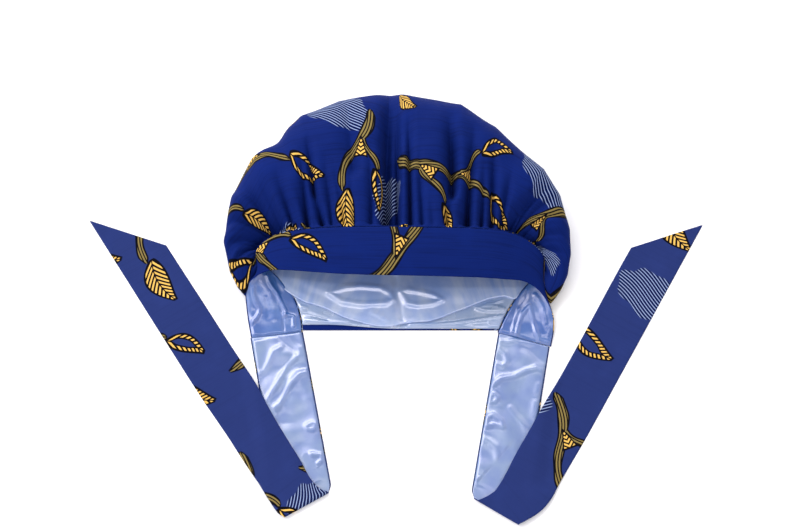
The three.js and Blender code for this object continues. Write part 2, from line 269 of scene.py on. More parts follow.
# %% Band shape
LYING = 1.15  # height of the middle of a lined piece that lies on the table, as in the CAD
BAND = table("at mx my mz cx cy cz", [
    [0, -134, -32, LYING, -86.5, -26, LYING], [1, -137.5, -14, 2.2, -88, -13, 1.3],
    [2, -139.5, 1, 4.5, -93, 3, 1.8], [3, -140, 12, 8.5, -103, 19, 3], [4, -136, 20, 12.5, -117, 33, 6],
    [5, -129, 24.5, 17, -129, 41.5, 11.5], [6, -121, 27, 20.5, -130, 48, 20], [7, -112, 27.3, 24.5, -121, 55, 28],
    [8, -97, 25, 29, -104, 59.5, 36], [9, -74, 21.5, 33, -81, 61, 42], [10, -47, 18.3, 36.5, -52, 61, 46.5],
    [11, -15, 16.3, 39, -17, 60, 49.5], [12, 20, 15.6, 39, 20, 59.3, 50], [13, 55, 15.4, 37, 58, 59.6, 48],
    [14, 84, 15.6, 33.5, 92, 59.8, 43], [15, 104, 16, 28.5, 113, 57.5, 36.5], [16, 119, 16.5, 23.5, 129, 51.5, 28],
    [17, 130, 13, 18.5, 139, 43, 20], [18, 139, 5.5, 13.5, 140, 34, 12.5], [19, 145, -4, 9.5, 131, 25.5, 8],
    [20, 148.3, -15, 6, 119, 13, 4.5], [21, 148, -27, 3, 107, -4, 2.2], [22, 145.3, -40.6, LYING, 96, -26.8, LYING],
])
BAND_END = 22.0
BAND_RISE = 1.5  # how far the band bows out between its edges


def band_point(place, across):
    """A point of the band: across is 0 at its free edge and 1 at the crown seam."""
    rise = BAND_RISE * np.sin(math.pi * across) * np.sin(math.pi * place / BAND_END)
    x, y, z = (lerp(read(BAND, "m" + axis, place), read(BAND, "c" + axis, place), across) for axis in "xyz")
    return stack(x, y, z + rise)


band_seam = band_point(np.linspace(0, BAND_END, 400), 1.0)
print("crown seam of the band:", round(steps_of(band_seam).sum()), "mm")

# %% [markdown]
# ## The crown
# The crown is one large piece of cloth, gathered into the band. Each row of its table is one section: it starts at
# the band, rises a little, reaches the rim, rolls under, and ends at the nape or the lower band.

# %% Crown shape
CROWN = table("at from rx ry rz bulge roll ex ey ez", [
    [0, 5.15, -128.5, 33, 8.5, 0.3, 2, -130, 41.5, 7.6], [0.01, 5.25, -133.5, 21.5, 7.5, 0.4, 3, -129.5, 41.2, 7.2],
    [0.02, 5.35, -138, 12.5, 5.8, 0.6, 3, -129, 41, 6.8], [0.03, 5.5, -140.8, 8.4, 7, 0.8, 4, -128, 40.5, 6.2],
    [0.047, 5.7, -147.5, 16, 10, 2, 6, -127, 39.8, 5.5], [0.07, 6, -154, 28, 14, 3, 8, -125, 38.8, 4.6],
    [0.12, 6.6, -160.5, 50, 19, 7, 12, -121.5, 37, 3.2], [0.17, 7.1, -160.5, 75, 21, 11, 16, -115, 34, 2.2],
    [0.22, 7.7, -154.5, 103, 23, 16, 19, -106, 27, 1.4], [0.27, 8.2, -138.5, 136, 25, 20, 22, -97.5, 15.5, LYING],
    [0.32, 8.9, -111.6, 152.5, 27, 23, 24, -84, 9.5, LYING], [0.37, 9.5, -91.1, 179.1, 29, 24, 26, -66, 9.5, LYING],
    [0.43, 10.3, -54.1, 195.5, 32, 25, 27, -40, 9.5, LYING], [0.5, 11.2, -5, 204, 33, 25, 28, -4, 9.5, LYING],
    [0.57, 12.2, 22.7, 199, 33, 25, 28, 27, 9.5, LYING], [0.63, 13.1, 62.8, 191.3, 32, 24, 27, 54, 9.5, LYING],
    [0.69, 13.9, 98.3, 166.4, 30, 23, 26, 78, 9.5, LYING], [0.75, 14.6, 137.3, 130.6, 27, 20, 24, 97, 9.5, LYING],
    [0.8, 15.2, 154.7, 104.7, 24, 17, 20, 110, 10, LYING], [0.85, 15.8, 164.3, 72, 21, 12, 17, 118, 16, 1.6],
    [0.9, 16.4, 165.3, 46, 18, 8, 12, 125.5, 23, 2.6], [0.95, 17.1, 161.5, 25, 14, 4, 8, 131.5, 28.8, 3.8],
    [0.967, 17.35, 156, 13.5, 10.5, 2, 6, 133.5, 30.5, 4.6],
    [0.98, 17.6, 149.6, 4.8, 7.5, 0.8, 4, 135.5, 32.5, 5.4],
    [0.988, 17.75, 146, 0.5, 6.5, 0.6, 3, 136.5, 33.5, 5.9], [0.994, 17.83, 141, 7, 6.5, 0.4, 3, 137.3, 34.2, 6.3],
    [1, 17.9, 137, 23, 8, 0.3, 2, 138, 34.8, 6.8],
])
TOP_SHARE = 0.56  # of a section's rows go over the top
RIM_SHARE = 0.20  # and these go round the rim
FACETS = np.array([
    0, 0.01, 0.02, 0.03, 0.047, 0.075, 0.136, 0.216, 0.274, 0.358, 0.372, 0.43, 0.498, 0.532,
    0.562, 0.63, 0.686, 0.76, 0.806, 0.856, 0.9, 0.948, 0.967, 0.98, 0.988, 0.994, 1,
])  # the corners of the outline
FACET_FLATNESS = 1.1
ROUNDER, SHARPER = (-1.1, 0.316, 0.03), (0.8, 0.71, 0.06)  # change of the flatness, where, and over what width
CASING_STARTS, CASING_ENDS = 0.25, 0.80  # between these places the crown is sewn to the nape casing
START_GAP = 0.3  # between the band's edge and the crown's


def faceted(column, at):
    """A column of the crown table, drawn nearly straight between the corners of the outline."""
    flatness = FACET_FLATNESS
    for change, place, width in (ROUNDER, SHARPER):
        flatness = flatness + change * bump(at - place, width)
    return lerp(read(CROWN, column, at), np.interp(at, FACETS, read(CROWN, column, FACETS)), flatness)


def on_lower_seam(points):
    """Points moved to the nearest place of the band's crown seam."""
    gaps = ((points[..., None, :2] - band_seam[:, :2]) ** 2).sum(axis=-1)
    return band_seam[np.argmin(gaps, axis=-1)]


lower_at = np.linspace(0, 1, 601)
lower_end = np.stack([read(CROWN, column, lower_at) for column in ("ex", "ey", "ez")], axis=-1)
at_band = 1 - smooth((lower_at - CASING_STARTS) / 0.03) * smooth((CASING_ENDS - lower_at) / 0.03)
lower_end = lower_end + (on_lower_seam(lower_end) - lower_end) * at_band[:, None]


def crown_point(at, along, depth=0.0):
    """A point of the crown. depth is how far a gather sinks it."""
    at, along = np.broadcast_arrays(np.asarray(at, float), np.asarray(along, float))
    start = band_point(read(CROWN, "from", at), 1.0)
    rim = stack(faceted("rx", at), faceted("ry", at), read(CROWN, "rz", at))
    end = stack(*(np.interp(at, lower_at, lower_end[:, i]) for i in range(3)))
    away = (rim - start) * [1, 1, 0]
    away = away / np.linalg.norm(away, axis=-1, keepdims=True)
    start = start + away * START_GAP
    back = (end - rim) * [1, 1, 0]
    reach = np.linalg.norm(back, axis=-1)
    back = back / reach[..., None]
    roll = np.minimum(read(CROWN, "roll", at), 0.45 * reach)

    turn = np.clip(along / TOP_SHARE, 0, 1) * math.pi / 2
    top = start + (rim - start) * np.sin(turn)[..., None]
    height = lerp(rim[..., 2], start[..., 2], np.cos(turn)) + read(CROWN, "bulge", at) * np.sin(2 * turn)
    top[..., 2] = height - depth

    turn = np.clip((along - TOP_SHARE) / RIM_SHARE, 0, 1) * math.pi / 2
    round_rim = rim + back * (roll * (1 - np.cos(turn)))[..., None]
    round_rim[..., 2] = lerp(rim[..., 2] - depth, LYING, np.sin(turn))

    rest = np.clip((along - TOP_SHARE - RIM_SHARE) / (1 - TOP_SHARE - RIM_SHARE), 0, 1)
    below = rim + back * lerp(roll, reach, rest)[..., None]
    below[..., 2] = lerp(LYING, end[..., 2], smooth((rest - 0.4) / 0.6))

    over, under = along <= TOP_SHARE, along > TOP_SHARE + RIM_SHARE
    return np.where(over[..., None], top, np.where(under[..., None], below, round_rim))


crown_rim = crown_point(np.linspace(0, 1, 300), TOP_SHARE)
print("rim of the crown:", round(steps_of(crown_rim).sum()), "mm")

# %% [markdown]
# ### Gathers
# Gathers are sharp and close together at the seam, and run out into a few soft folds towards the rim. The chart
# gives the folds that show, each with its start and end as (place along the crown, share of the way to the rim).
# Between them, short ripples in seeded places stand for the many small pleats that the stitches hold. All of them
# start level with the band and sink within a few millimetres, so that no slit opens behind its edge.

# %% Crown gathers
# at and over where a fold starts, at and over where it ends, its depth, and its width in mm
FOLDS = [
    (0.508, 0, 0.497, 1.15, 7.6, 6.2), (0.501, 0, 0.493, 0.66, 5.2, 2.3), (0.524, 0, 0.519, 0.64, 6.6, 2.5),
    (0.546, 0, 0.545, 0.55, 6, 2.3), (0.566, 0, 0.565, 0.36, 3, 2.2), (0.606, 0, 0.610, 0.22, 3.8, 2.6),
    (0.615, 0.16, 0.612, 0.62, 8, 4), (0.640, 0, 0.652, 0.58, 6.8, 3.4), (0.668, 0, 0.670, 0.38, 3.8, 2.4),
    (0.690, 0, 0.686, 0.52, 5.2, 3), (0.370, 0, 0.366, 0.20, 4.4, 2.2), (0.366, 0.18, 0.374, 0.50, 5.2, 2.5),
    (0.328, 0, 0.358, 0.45, 4.2, 2.6), (0.392, 0, 0.397, 0.34, 2.8, 2.1), (0.418, 0, 0.424, 0.24, 1.8, 2.3),
    (0.440, 0, 0.438, 0.28, 1.6, 2.4), (0.474, 0, 0.472, 0.40, 2.6, 2.4), (0.445, 0.25, 0.438, 0.85, 3, 6.5),
    (0.240, 0.05, 0.222, 1.05, 5.6, 6), (0.212, 0, 0.150, 1.00, 6.4, 5.6), (0.262, 0, 0.262, 0.42, 3.4, 2.8),
    (0.292, 0, 0.300, 0.45, 3.6, 2.8), (0.742, 0, 0.790, 0.60, 5.4, 3.6), (0.716, 0, 0.722, 0.42, 3.8, 2.8),
    (0.772, 0, 0.822, 0.80, 4.6, 3.6), (0.800, 0, 0.850, 0.85, 4, 3.4), (0.835, 0, 0.885, 0.90, 4.6, 4.6),
    (0.880, 0.02, 0.925, 0.90, 4.4, 5.6), (0.170, 0, 0.105, 0.90, 5.6, 5.2), (0.130, 0, 0.070, 0.70, 4, 4),
    (0.787, 0, 0.838, 0.95, 1.3, 1.9), (0.817, 0, 0.872, 0.95, 1.2, 1.9), (0.856, 0, 0.910, 0.95, 1.2, 2.2),
    (0.757, 0, 0.805, 0.90, 1.2, 2), (0.226, 0, 0.188, 0.90, 1.2, 2.2), (0.190, 0, 0.130, 0.90, 1.3, 2.2),
    (0.150, 0, 0.088, 0.90, 1.2, 2.2),
]
FOLD_DEPTH = 2.9  # mm for each unit of depth
SEAM_DROP = 0.024  # of the way to the rim, where the gathers reach their depth
FOLD_WIDENS = 0.9  # how much wider a fold is at its end
RIPPLES = 44
RIPPLE_SEED = 12
RIPPLE_DEPTHS, RIPPLE_WIDTHS = (1.6, 4.2), (1.4, 2.3)  # mm, smallest and largest
RIPPLE_REACHES, RIPPLE_LEANS = (0.14, 0.42), (-0.012, 0.012)
RIPPLE_SHIFTS = -0.006, 0.006
CLOSER = 0.9  # how much closer together the columns lie over the top, where most gathers are
LIFT = 0.9  # how much the crown stands up half way to its rim
CROWN_CLOTH = 590.0  # width of the flat cloth in mm
CROWN_COLUMNS = 330


def fold_depth(at, over, metric):
    """How far the gathers sink the crown. metric is the millimetres of cloth for each unit of at."""
    total = np.zeros(np.broadcast(at, over).shape)
    for at0, over0, at1, over1, depth, width in FOLDS:
        t = np.clip((over - over0) / (over1 - over0), 0, 1)
        line = lerp(at0, at1, t)
        shape = np.exp(-(np.abs(at - line) * metric / (width * (1 + FOLD_WIDENS * t))) ** 1.5)
        before = smooth((over - over0 + 0.06) / 0.08)
        gone = smooth((over - over0) / (over1 - over0) * 0.9 - 0.05) if over1 < 1 else 0.75 * smooth(over)
        total += FOLD_DEPTH * depth * before * (1 - gone) * shape
    rng = np.random.default_rng(RIPPLE_SEED)
    places = np.linspace(0.015, 0.985, RIPPLES) + rng.uniform(*RIPPLE_SHIFTS, RIPPLES)
    ranges = RIPPLE_DEPTHS, RIPPLE_WIDTHS, RIPPLE_REACHES, RIPPLE_LEANS
    for place in places:
        depth, width, reach, lean = (rng.uniform(*limits) for limits in ranges)
        t = np.clip(over / reach, 0, 1.5)
        line = place + lean * t
        total += depth * (1 - smooth(t)) * np.exp(-(np.abs(at - line) * metric / (width * (1 + t))) ** 1.6)
    return total * smooth(over / SEAM_DROP + 0.02)


def span(start, end, count):
    """Evenly spaced rows after start, as far as end."""
    return np.linspace(start, end, count)[1:]


ROUND = TOP_SHARE + RIM_SHARE
drop_rows = np.array([0, 0.003, 0.006, 0.009, 0.013, 0.018, SEAM_DROP]) * TOP_SHARE
after_drop = 0.034 * TOP_SHARE
top_rows = np.linspace(after_drop, TOP_SHARE, 90)
crown_rows = np.concatenate([drop_rows, top_rows, span(TOP_SHARE, ROUND, 22), span(ROUND, 1, 18)])
fine_at = np.linspace(0, 1, 2000)
closeness = 1 + CLOSER * smooth((fine_at - 0.2) / 0.12) * smooth((0.82 - fine_at) / 0.08)
crown_at = np.interp(np.linspace(0, 1, CROWN_COLUMNS), np.cumsum(closeness) / closeness.sum(), fine_at)
crown_at[0], crown_at[-1] = 0.0, 1.0


def crown_surface(at, along):
    """Points of the crown with its gathers and its soft unevenness."""
    plain = crown_point(at, along)
    wide_steps = np.linalg.norm(np.gradient(plain, axis=1), axis=-1)
    over = along / TOP_SHARE
    depth = fold_depth(at, over, wide_steps / np.gradient(np.broadcast_to(at, plain.shape[:2]), axis=1))
    x, y = plain[..., 0], plain[..., 1]
    soft = uneven(x, y, 60, 5) * 1.1 + uneven(x, y, 27, 6) * 0.35
    depth = depth - soft * smooth(over / 0.25) * (1 - smooth((over - 1.1) / 0.3))
    lift = LIFT * np.sin(np.clip(over, 0, 1) * math.pi)
    return crown_point(at, along, depth - lift)


def evened(lengths, columns=9):
    """Lengths of cloth evened out over neighbouring columns, so that the print runs smoothly over a gather."""
    padded = np.pad(lengths, ((0, 0), (columns, columns)), mode="edge")
    total = np.cumsum(np.pad(padded, ((0, 0), (1, 0))), axis=1)
    width = 2 * columns + 1
    return (total[:, width:] - total[:, :-width]) / width


crown_points = crown_surface(crown_at[None, :], crown_rows[:, None])
crown_length = length_down(crown_points)
gathered = steps_of(crown_points, 1)[(crown_rows > 0.05) & (crown_rows < 0.32)].mean(axis=0)
crown_run = running(gathered)
crown_run *= CROWN_CLOTH / crown_run[-1]
crown_cloth = grid_of(crown_run[None, :], evened(evened(crown_length)))
crown = sheet("crown_cloth", lined(crown_points, 1), crown_cloth, PRINT_THICK, True)
print("crown cloth:", round(area_of(crown_points), 4), "m2, longest", round(crown_length[-1].max()), "mm")

# %% [markdown]
# ## The satin inside the crown
# The lining is cut like the crown and follows it closely. At the nape there is more of it than the elastic needs,
# so it falls forward over the nape casing as a puffed fold. The fold's front edge is a long smile line, pressed
# sharp, and two closed rims with a valley between them catch the light. The lining starts a little behind the seam,
# where none of it can show between the band and the crown.

# %% Crown lining
LINING_STARTS, LINING_ENDS = 0.105, 0.895  # the lining is a little narrower than the crown
FALL_START = 0.9  # of a section's rows, where the lining leaves the crown
BACK_SHARE, EDGE_SHARE, UNDER_SHARE = 0.3, 0.8, 0.9  # of the fall's rows, where top, edge and under side start
BEHIND_Y = 34.0  # where the top of the fall starts
FALL_LEFT, FALL_RIGHT = -113, 121  # x of its two ends, which run out softly
FALL = table("x y", [
    [-114, 21.5], [-106, 16], [-100, 12], [-94, 8], [-84, 2.6], [-68, -2.5], [-47, -12.8], [-34, -17], [-20, -20.8],
    [-5, -21.6], [6, -19.2], [20, -17.4], [31, -16.6], [43, -13], [54, -8.3], [66, -3.6], [77, 1.2], [87, 5.2],
    [100, 8], [118, 9],
])
FOLD_UNDER = LYING + 1.0
EDGE_RADIUS = 1.1
EDGE_SQUEEZE = 0.35  # the fold is pressed to a sharp edge
FALL_DOME = 0.4
HILLS = [
    (0.0, 4.6, 1.0, (-62, 11.5), (-47, 16.5), (-32, 18), (-14, 16.5), (-4, 11), (-2, 5), (-8, 1), (-32, 0),
     (-50, 3)),
    (0.0, 4.2, 1.0, (5, 13), (12, 14.5), (24, 12.5), (36, 9.5), (44, 4.5), (35, 0.5), (22, -1), (12, 1)),
]
VALLEYS = [
    (3.4, -1.1, (1, 26), (1.5, 12), (4, 2), (5, -9), (8, -20)),
    (8.5, -0.8, (7, 2), (10, -6), (14, -14)),
    (5.0, -0.3, (-58, -2), (-44, -7), (-30, -11)),
    (6.0, -0.3, (47, 1), (64, -1)),
    (5.0, -0.5, (-96, 22), (-78, 12), (-60, 4)),
    (3.0, 0.55, (-21, -8), (-14, -11), (-8, -16)),
]


def fall_height(x, y, front):
    """Height of the fallen lining's top over the table."""
    q = np.clip((y - front) / (BEHIND_Y - front), 0, 1)
    dome = FALL_DOME * np.sin(math.pi * q) ** 2 * (0.4 + 0.6 * bump(x - 5, 75))
    height = FOLD_UNDER + 2 * EDGE_RADIUS + dome
    height = height + flat_hills(x, y, HILLS) + creases(x, y, VALLEYS) * smooth(q * 6 + 0.3)
    return height + uneven(x, y, 34, 21, 1.6) * 0.24 * smooth(q * 5)


def lining_surface(at, along):
    """Points of the lining: the crown's, and from FALL_START on those of the fall."""
    at, along = np.broadcast_arrays(at, along)
    plain = crown_surface(at, along)
    start, seam = crown_point(at, FALL_START), crown_point(at, 1.0)
    x, seam_y = seam[..., 0], seam[..., 1]
    full = smooth((x - FALL_LEFT) / 9) * smooth((FALL_RIGHT - x) / 9)
    front = np.minimum(seam_y - 1, read(FALL, "y", x, key="x")) + 1.5 - EDGE_RADIUS * (1 - EDGE_SQUEEZE)
    t = (along - FALL_START) / (1 - FALL_START)
    rise = fall_height(x, np.full_like(x, BEHIND_Y), front)

    a = np.clip(t / BACK_SHARE, 0, 1)
    back_y, back_z = lerp(start[..., 1], BEHIND_Y, a), lerp(start[..., 2], rise, smooth(a))
    part = stack(lerp(start[..., 0], x, a), back_y, back_z)
    b = np.clip((t - BACK_SHARE) / (EDGE_SHARE - BACK_SHARE), 0, 1)
    y_top = lerp(BEHIND_Y, front, b)
    part = np.where((t < BACK_SHARE)[..., None], part, stack(x, y_top, fall_height(x, y_top, front)))
    turn = np.clip((t - EDGE_SHARE) / (UNDER_SHARE - EDGE_SHARE), 0, 1) * math.pi
    radius = (fall_height(x, front, front) - FOLD_UNDER) / 2
    edge = stack(x, front - radius * EDGE_SQUEEZE * np.sin(turn), FOLD_UNDER + radius * (1 + np.cos(turn)))
    part = np.where((t >= EDGE_SHARE)[..., None], edge, part)
    c = np.clip((t - UNDER_SHARE) / (1 - UNDER_SHARE), 0, 1)
    under = stack(x, lerp(front, seam_y, c), lerp(FOLD_UNDER, FOLD_UNDER - 0.3, c))
    part = np.where((t >= UNDER_SHARE)[..., None], under, part)
    fallen = plain + (part - plain) * full[..., None]
    return np.where((t > 0)[..., None], fallen, plain)


fall_rows = [
    span(0, BACK_SHARE, 14), span(BACK_SHARE, 0.7985, 44), [EDGE_SHARE], span(EDGE_SHARE, UNDER_SHARE, 9),
    span(UNDER_SHARE, 1, 6),
]
lining_rows = np.concatenate([
    drop_rows[3:], np.linspace(after_drop, TOP_SHARE, 60), span(TOP_SHARE, ROUND, 16),
    span(ROUND, FALL_START, 12), lerp(FALL_START, 1, np.concatenate(fall_rows)),
])
lining_at = crown_at[(crown_at > LINING_STARTS) & (crown_at < LINING_ENDS)]
lining_points = lining_surface(lining_at[None, :], lining_rows[:, None])
lining_length = length_down(lining_points)
lining_cloth = grid_of(lining_at[None, :] * CROWN_CLOTH, evened(lining_length))
crown_lining = sheet("crown_lining_cloth", lined(lining_points, -1), lining_cloth, SATIN_THICK, False)
print("crown lining:", round(area_of(lining_points), 4), "m2, longest", round(lining_length[-1].max()), "mm")

# %% [markdown]
# ## Band, in print and satin
# Both layers of the band share one middle surface. The print's long edges are rolled a little round the satin, as
# turned and pressed edges are, and the satin stops short of them. It puffs up between the seams, most of all on the
# two ends, where it faces us.

# %% Band sheets
BAND_COLUMNS = 420
EDGE_ROLL = 0.55  # how far a pressed edge turns down
ROLL_SHARE = 0.014  # of the band's width
SATIN_STARTS, SATIN_ENDS = 0.016, 0.984
LEAST_PUFF = 0.05
BAND_CREASES = [
    (1.8, 1.3, (-120.5, 27), (-119, 22), (-115.8, 17), (-111, 10.7), (-107.6, 3.6), (-102.6, -6.2),
     (-103.3, -10.3)),
    (1.7, 1.1, (-103.5, -10), (-98, -10.8), (-95, -12), (-94.5, -20.6)),
    (2.1, 1.4, (-133.6, 15), (-132.7, 8), (-130.4, 1.6), (-126.9, -4), (-126.9, -8.2), (-130, -13.8),
     (-134.6, -18.4)),
    (1.4, -0.7, (-107.8, 0), (-105, -8.5), (-103.9, -25.3)),
    (2.6, 0.5, (-117, 12), (-113.5, -2), (-113, -14)),
    (2.2, -0.5, (-121, 6), (-119, -12)),
    (2.4, -0.6, (-114, 27), (-111.5, 20), (-107, 13)),
    (1.9, 1.4, (113, -32.9), (114.5, -23.5), (118.8, -9.9), (126.5, -2.1), (128.9, -14), (132.2, -27.5),
     (134.6, -35.6)),
    (1.6, 0.9, (109.5, -27.6), (112.5, -14), (117, -4)),
    (2.2, -0.6, (124, 18), (123, 6), (117, -2)),
    (2.2, 0.8, (132, 8), (139, -4), (141, -18)),
    (2.4, -0.6, (133, 2), (136, -12), (139, -26)),
    (2.0, 0.9, (137, -36), (143, -38)),
]


def band_surface(place, across):
    """Points of the band with its soft unevenness, most of all between its seams."""
    points = band_point(place, across)
    x, y = points[..., 0], points[..., 1]
    up = smooth((place - 5) / 3) * smooth((17.5 - place) / 2.5)
    soft = uneven(x, y, 70, 31, 1.8) * 0.55 + uneven(x, y, 24, 32, 2.0) * 0.12
    inside = np.sin(math.pi * np.clip(across, 0, 1))
    return points + normals_of(points) * (soft * up * (0.35 + 0.65 * inside))[..., None]


def band_puff(points, place, across):
    """How far the satin stands off the print."""
    x, y = points[..., 0], points[..., 1]
    leg = 1 - smooth((place - 5) / 2) * smooth((18.5 - place) / 2)
    sides = smooth(across / 0.10) * smooth((1 - across) / 0.05)
    ends = smooth(place / 0.15) * smooth((BAND_END - place) / 0.15)
    puff = 0.9 + creases(x, y, BAND_CREASES) + uneven(x, y, 17, 33) * 0.35
    return np.maximum(puff, LEAST_PUFF) * leg * (sides * ends)


def strip_cloth(name, points):
    """The flat cloth of a strip, from the mean of its steps both ways."""
    run, length = running(steps_of(points, 1).mean(axis=0)), running(steps_of(points).mean(axis=1))
    print(name + ":", round(run[-1]), "x", round(length[-1]), "mm as it lies")
    return grid_of(run[None, :], length[:, None])


def inwards(points, distance):
    """A step from the points to the inner side."""
    return -normals_of(points) * distance[..., None]


columns = np.linspace(0, BAND_END, BAND_COLUMNS)[None, :]
rows = np.concatenate([[0, 0.004, 0.009, ROLL_SHARE], np.linspace(0.02, 1, 54)])[:, None]
points = band_surface(columns, rows)
roll = (1 - smooth(rows / ROLL_SHARE) + smooth((rows - SATIN_ENDS) / ROLL_SHARE)) * EDGE_ROLL
rolled = lined(points, 1) + inwards(points, roll)
front_band = sheet("front_band_cloth", rolled, strip_cloth("front band", points), PRINT_THICK, True)

rows = np.linspace(SATIN_STARTS, SATIN_ENDS, 60)[:, None]
points = band_surface(columns, rows)
puffed = lined(points, -1) + inwards(points, band_puff(points, columns, rows))
band_lining = sheet("front_band_lining_cloth", puffed, strip_cloth("band satin", points), SATIN_THICK, False)

# %% [markdown]
# ## The nape casing
# A straight hem with elastic in it closes the circle behind the neck. It lies flat under the fallen lining, and
# shows only as two satin triangles and a thin line of print along the hem.

# %% Nape casing
HEM_Y = -24.0
CASING_BACK_Y = 9.5
CASING_GAP = 0.6  # beside each end of the band
HEM_TURN = 0.4  # the print turns up round the hem
CASING_CREASES = [
    (2.0, 1.1, (15, -19.8), (30, -20.4), (56, -18.5), (76.6, -15.1), (94.7, -12.6), (102, -11.5)),
    (1.1, 0.9, (86, 2), (94, 2.5), (101, 5)),
    (1.0, -0.8, (86, -8.2), (95, -8.6), (102, -8)),
    (1.0, 0.8, (88, -17), (97, -16), (103, -14.5)),
    (0.9, -0.7, (90, -18.8), (103, -17)),
    (1.0, 0.8, (88, -21), (97, -20.4), (103, -19.5)),
    (2.6, 1.1, (-93, -14), (-78, -16), (-60, -18.5), (-44, -20)),
    (2.4, 1.0, (-95, 4), (-91, -1), (-84, -3)),
    (2.0, -0.6, (-93, -6), (-80, -9), (-64, -14)),
]
CASING_HILLS = [
    (0.6, 2.6, 0.6, (76, -2.5), (84, 0.3), (92, 0.2), (99, -2), (106, -5.4), (95, -5.6), (84, -5.4)),
]


def casing_edge(y, low, high):
    """x of the band's crown seam at y, between two places along the band."""
    place = np.linspace(low, high, 200)
    heights = read(BAND, "cy", place)
    order = np.argsort(heights)
    return np.interp(y, heights[order], read(BAND, "cx", place)[order])


def casing_point(across, down, hem):
    """A point of the casing: down is 0 at its back edge and 1 at the hem."""
    y = lerp(CASING_BACK_Y, hem, down)
    left, right = casing_edge(y, 0, 3) + CASING_GAP, casing_edge(y, 19, BAND_END) - CASING_GAP
    return stack(lerp(left, right, across), y, LYING)


columns, rows = np.linspace(0, 1, 260)[None, :], np.linspace(0, 1, 34)[:, None]
points = casing_point(columns, rows, HEM_Y - HEM_TURN)
casing_cloth = strip_cloth("nape casing", points)
points[..., 2] += smooth((rows - 0.985) / 0.015) * HEM_TURN
nape_casing = sheet("nape_casing_cloth", lined(points, 1), casing_cloth, PRINT_THICK, True)

hem = HEM_Y + lerp(4.8, 0.9, smooth((columns - 0.12) / 0.36))
points = casing_point(columns, rows, hem)
x, y = points[..., 0], points[..., 1]
edge = smooth(rows / 0.06) * smooth((1 - rows) / 0.08) * smooth(columns / 0.012) * smooth((1 - columns) / 0.012)
puff = 0.6 + creases(x, y, CASING_CREASES) + flat_hills(x, y, CASING_HILLS) + uneven(x, y, 16, 41, 1.5) * 0.25
puff = np.maximum(puff, LEAST_PUFF) * edge
under_fold = smooth((y - read(FALL, "y", x, key="x") + 2) / 4) * smooth((x + 96) / 6) * smooth((104 - x) / 6)
puff = np.minimum(puff, lerp(9, 0.35, under_fold))
puffed = lined(points, -1) + inwards(points, puff)
casing_lining = sheet("nape_casing_lining_cloth", puffed, casing_cloth, SATIN_THICK, False)

# %% [markdown]
# ## The ties
# Each tie is a flat tube of print and satin, 48.5 mm wide, with a slanted end. It runs down satin side up, turns
# back over itself on a slanting fold, and runs up and out print side up. The path is worked out from the fold line
# and a small swing after it, so that the cloth keeps its width and isn't stretched. Past the fold the cloth of the
# under side is tucked in at its edges, a little more or less along the way, as the table of tucks says.

# %% Tie path
TIE_WIDTH = 48.5
HALF_WIDTH = TIE_WIDTH / 2
FOLD_RADIUS = 1.7
FOLD_LIFT = 2 * FOLD_RADIUS
OVER_LIFT = 2.6  # how much higher the second part lies where it is over the first
SETTLE = 60.0  # the way from the fold until the cloth lies down
CORNER_PULL = 2.8  # rounds the corners of the fold
CORNER_REACH = 4.2
PATH_STEP, PATH_END = 0.5, 420
# start, first, head, down: where the first part starts, its direction, the slant of its seam, and its length
# fold: the direction of the fold; wait, turn, slip, swing: the way from the fold to a swing, and the swing's angle,
# its step sideways and its length; back, slant: the length of the second part and the slant of its end
# outer: which edge is the long one, 0 the left and 1 the right; cover: from where the first part is covered
TIES = {
    "left": dict(
        start=(-110.4, -29.3), first=-79.0, head=3.7, down=163.0, fold=209.5, wait=8, turn=-15.1,
        slip=1.4, swing=32, back=349.0, slant=62, outer=0, cover=55,
    ),
    "right": dict(
        start=(120.4, -34.0), first=-100.3, head=5.2, down=164.0, fold=-31.0, wait=14, turn=22.0,
        slip=4.4, swing=28, back=344.6, slant=55, outer=1, cover=70,
    ),
}
# how far past the fold, and how much the inner and the outer edge are tucked in there
TUCKS = {
    "left": [
        (-5.3, 0, 0), (0, 0.8, 0), (1.5, 2.5, 0.6), (4.5, 4.9, 1.9), (8, 5.9, 2.4), (12, 5.8, 2.8),
        (16, 5.1, 2.9), (29, 3.8, 2.7), (45, 3.7, 2.1), (60, 3.5, 1.9), (80, 3.0, 1.8), (92, 2.4, 1.3),
        (106, 1.4, 0.8), (120, 0, 0.3), (150, 0, 0),
    ],
    "right": [
        (-5.3, 0, 0), (-2.7, 0.5, 0), (0, 4.0, 0.3), (4.4, 7.4, 1.5), (9, 8.7, 1.0), (13, 9.2, 0.6),
        (17, 9.2, 0.4), (27, 6.0, 0.9), (37, 2.8, 1.4), (48, 1.2, 1.3), (62, 0.6, 0.8), (84, 0.9, 0.2),
        (110, 0.7, 0), (140, 1.4, 0), (180, 1.2, 0), (230, 0.3, 0), (260, 0, 0),
    ],
}


def heading(degrees):
    """A step of one in a direction."""
    return np.array([math.cos(math.radians(degrees)), math.sin(math.radians(degrees))])


def turned(vector, angle):
    """A direction turned by many angles."""
    c, s = np.cos(angle), np.sin(angle)
    return np.stack([vector[0] * c - vector[1] * s, vector[0] * s + vector[1] * c], axis=-1)


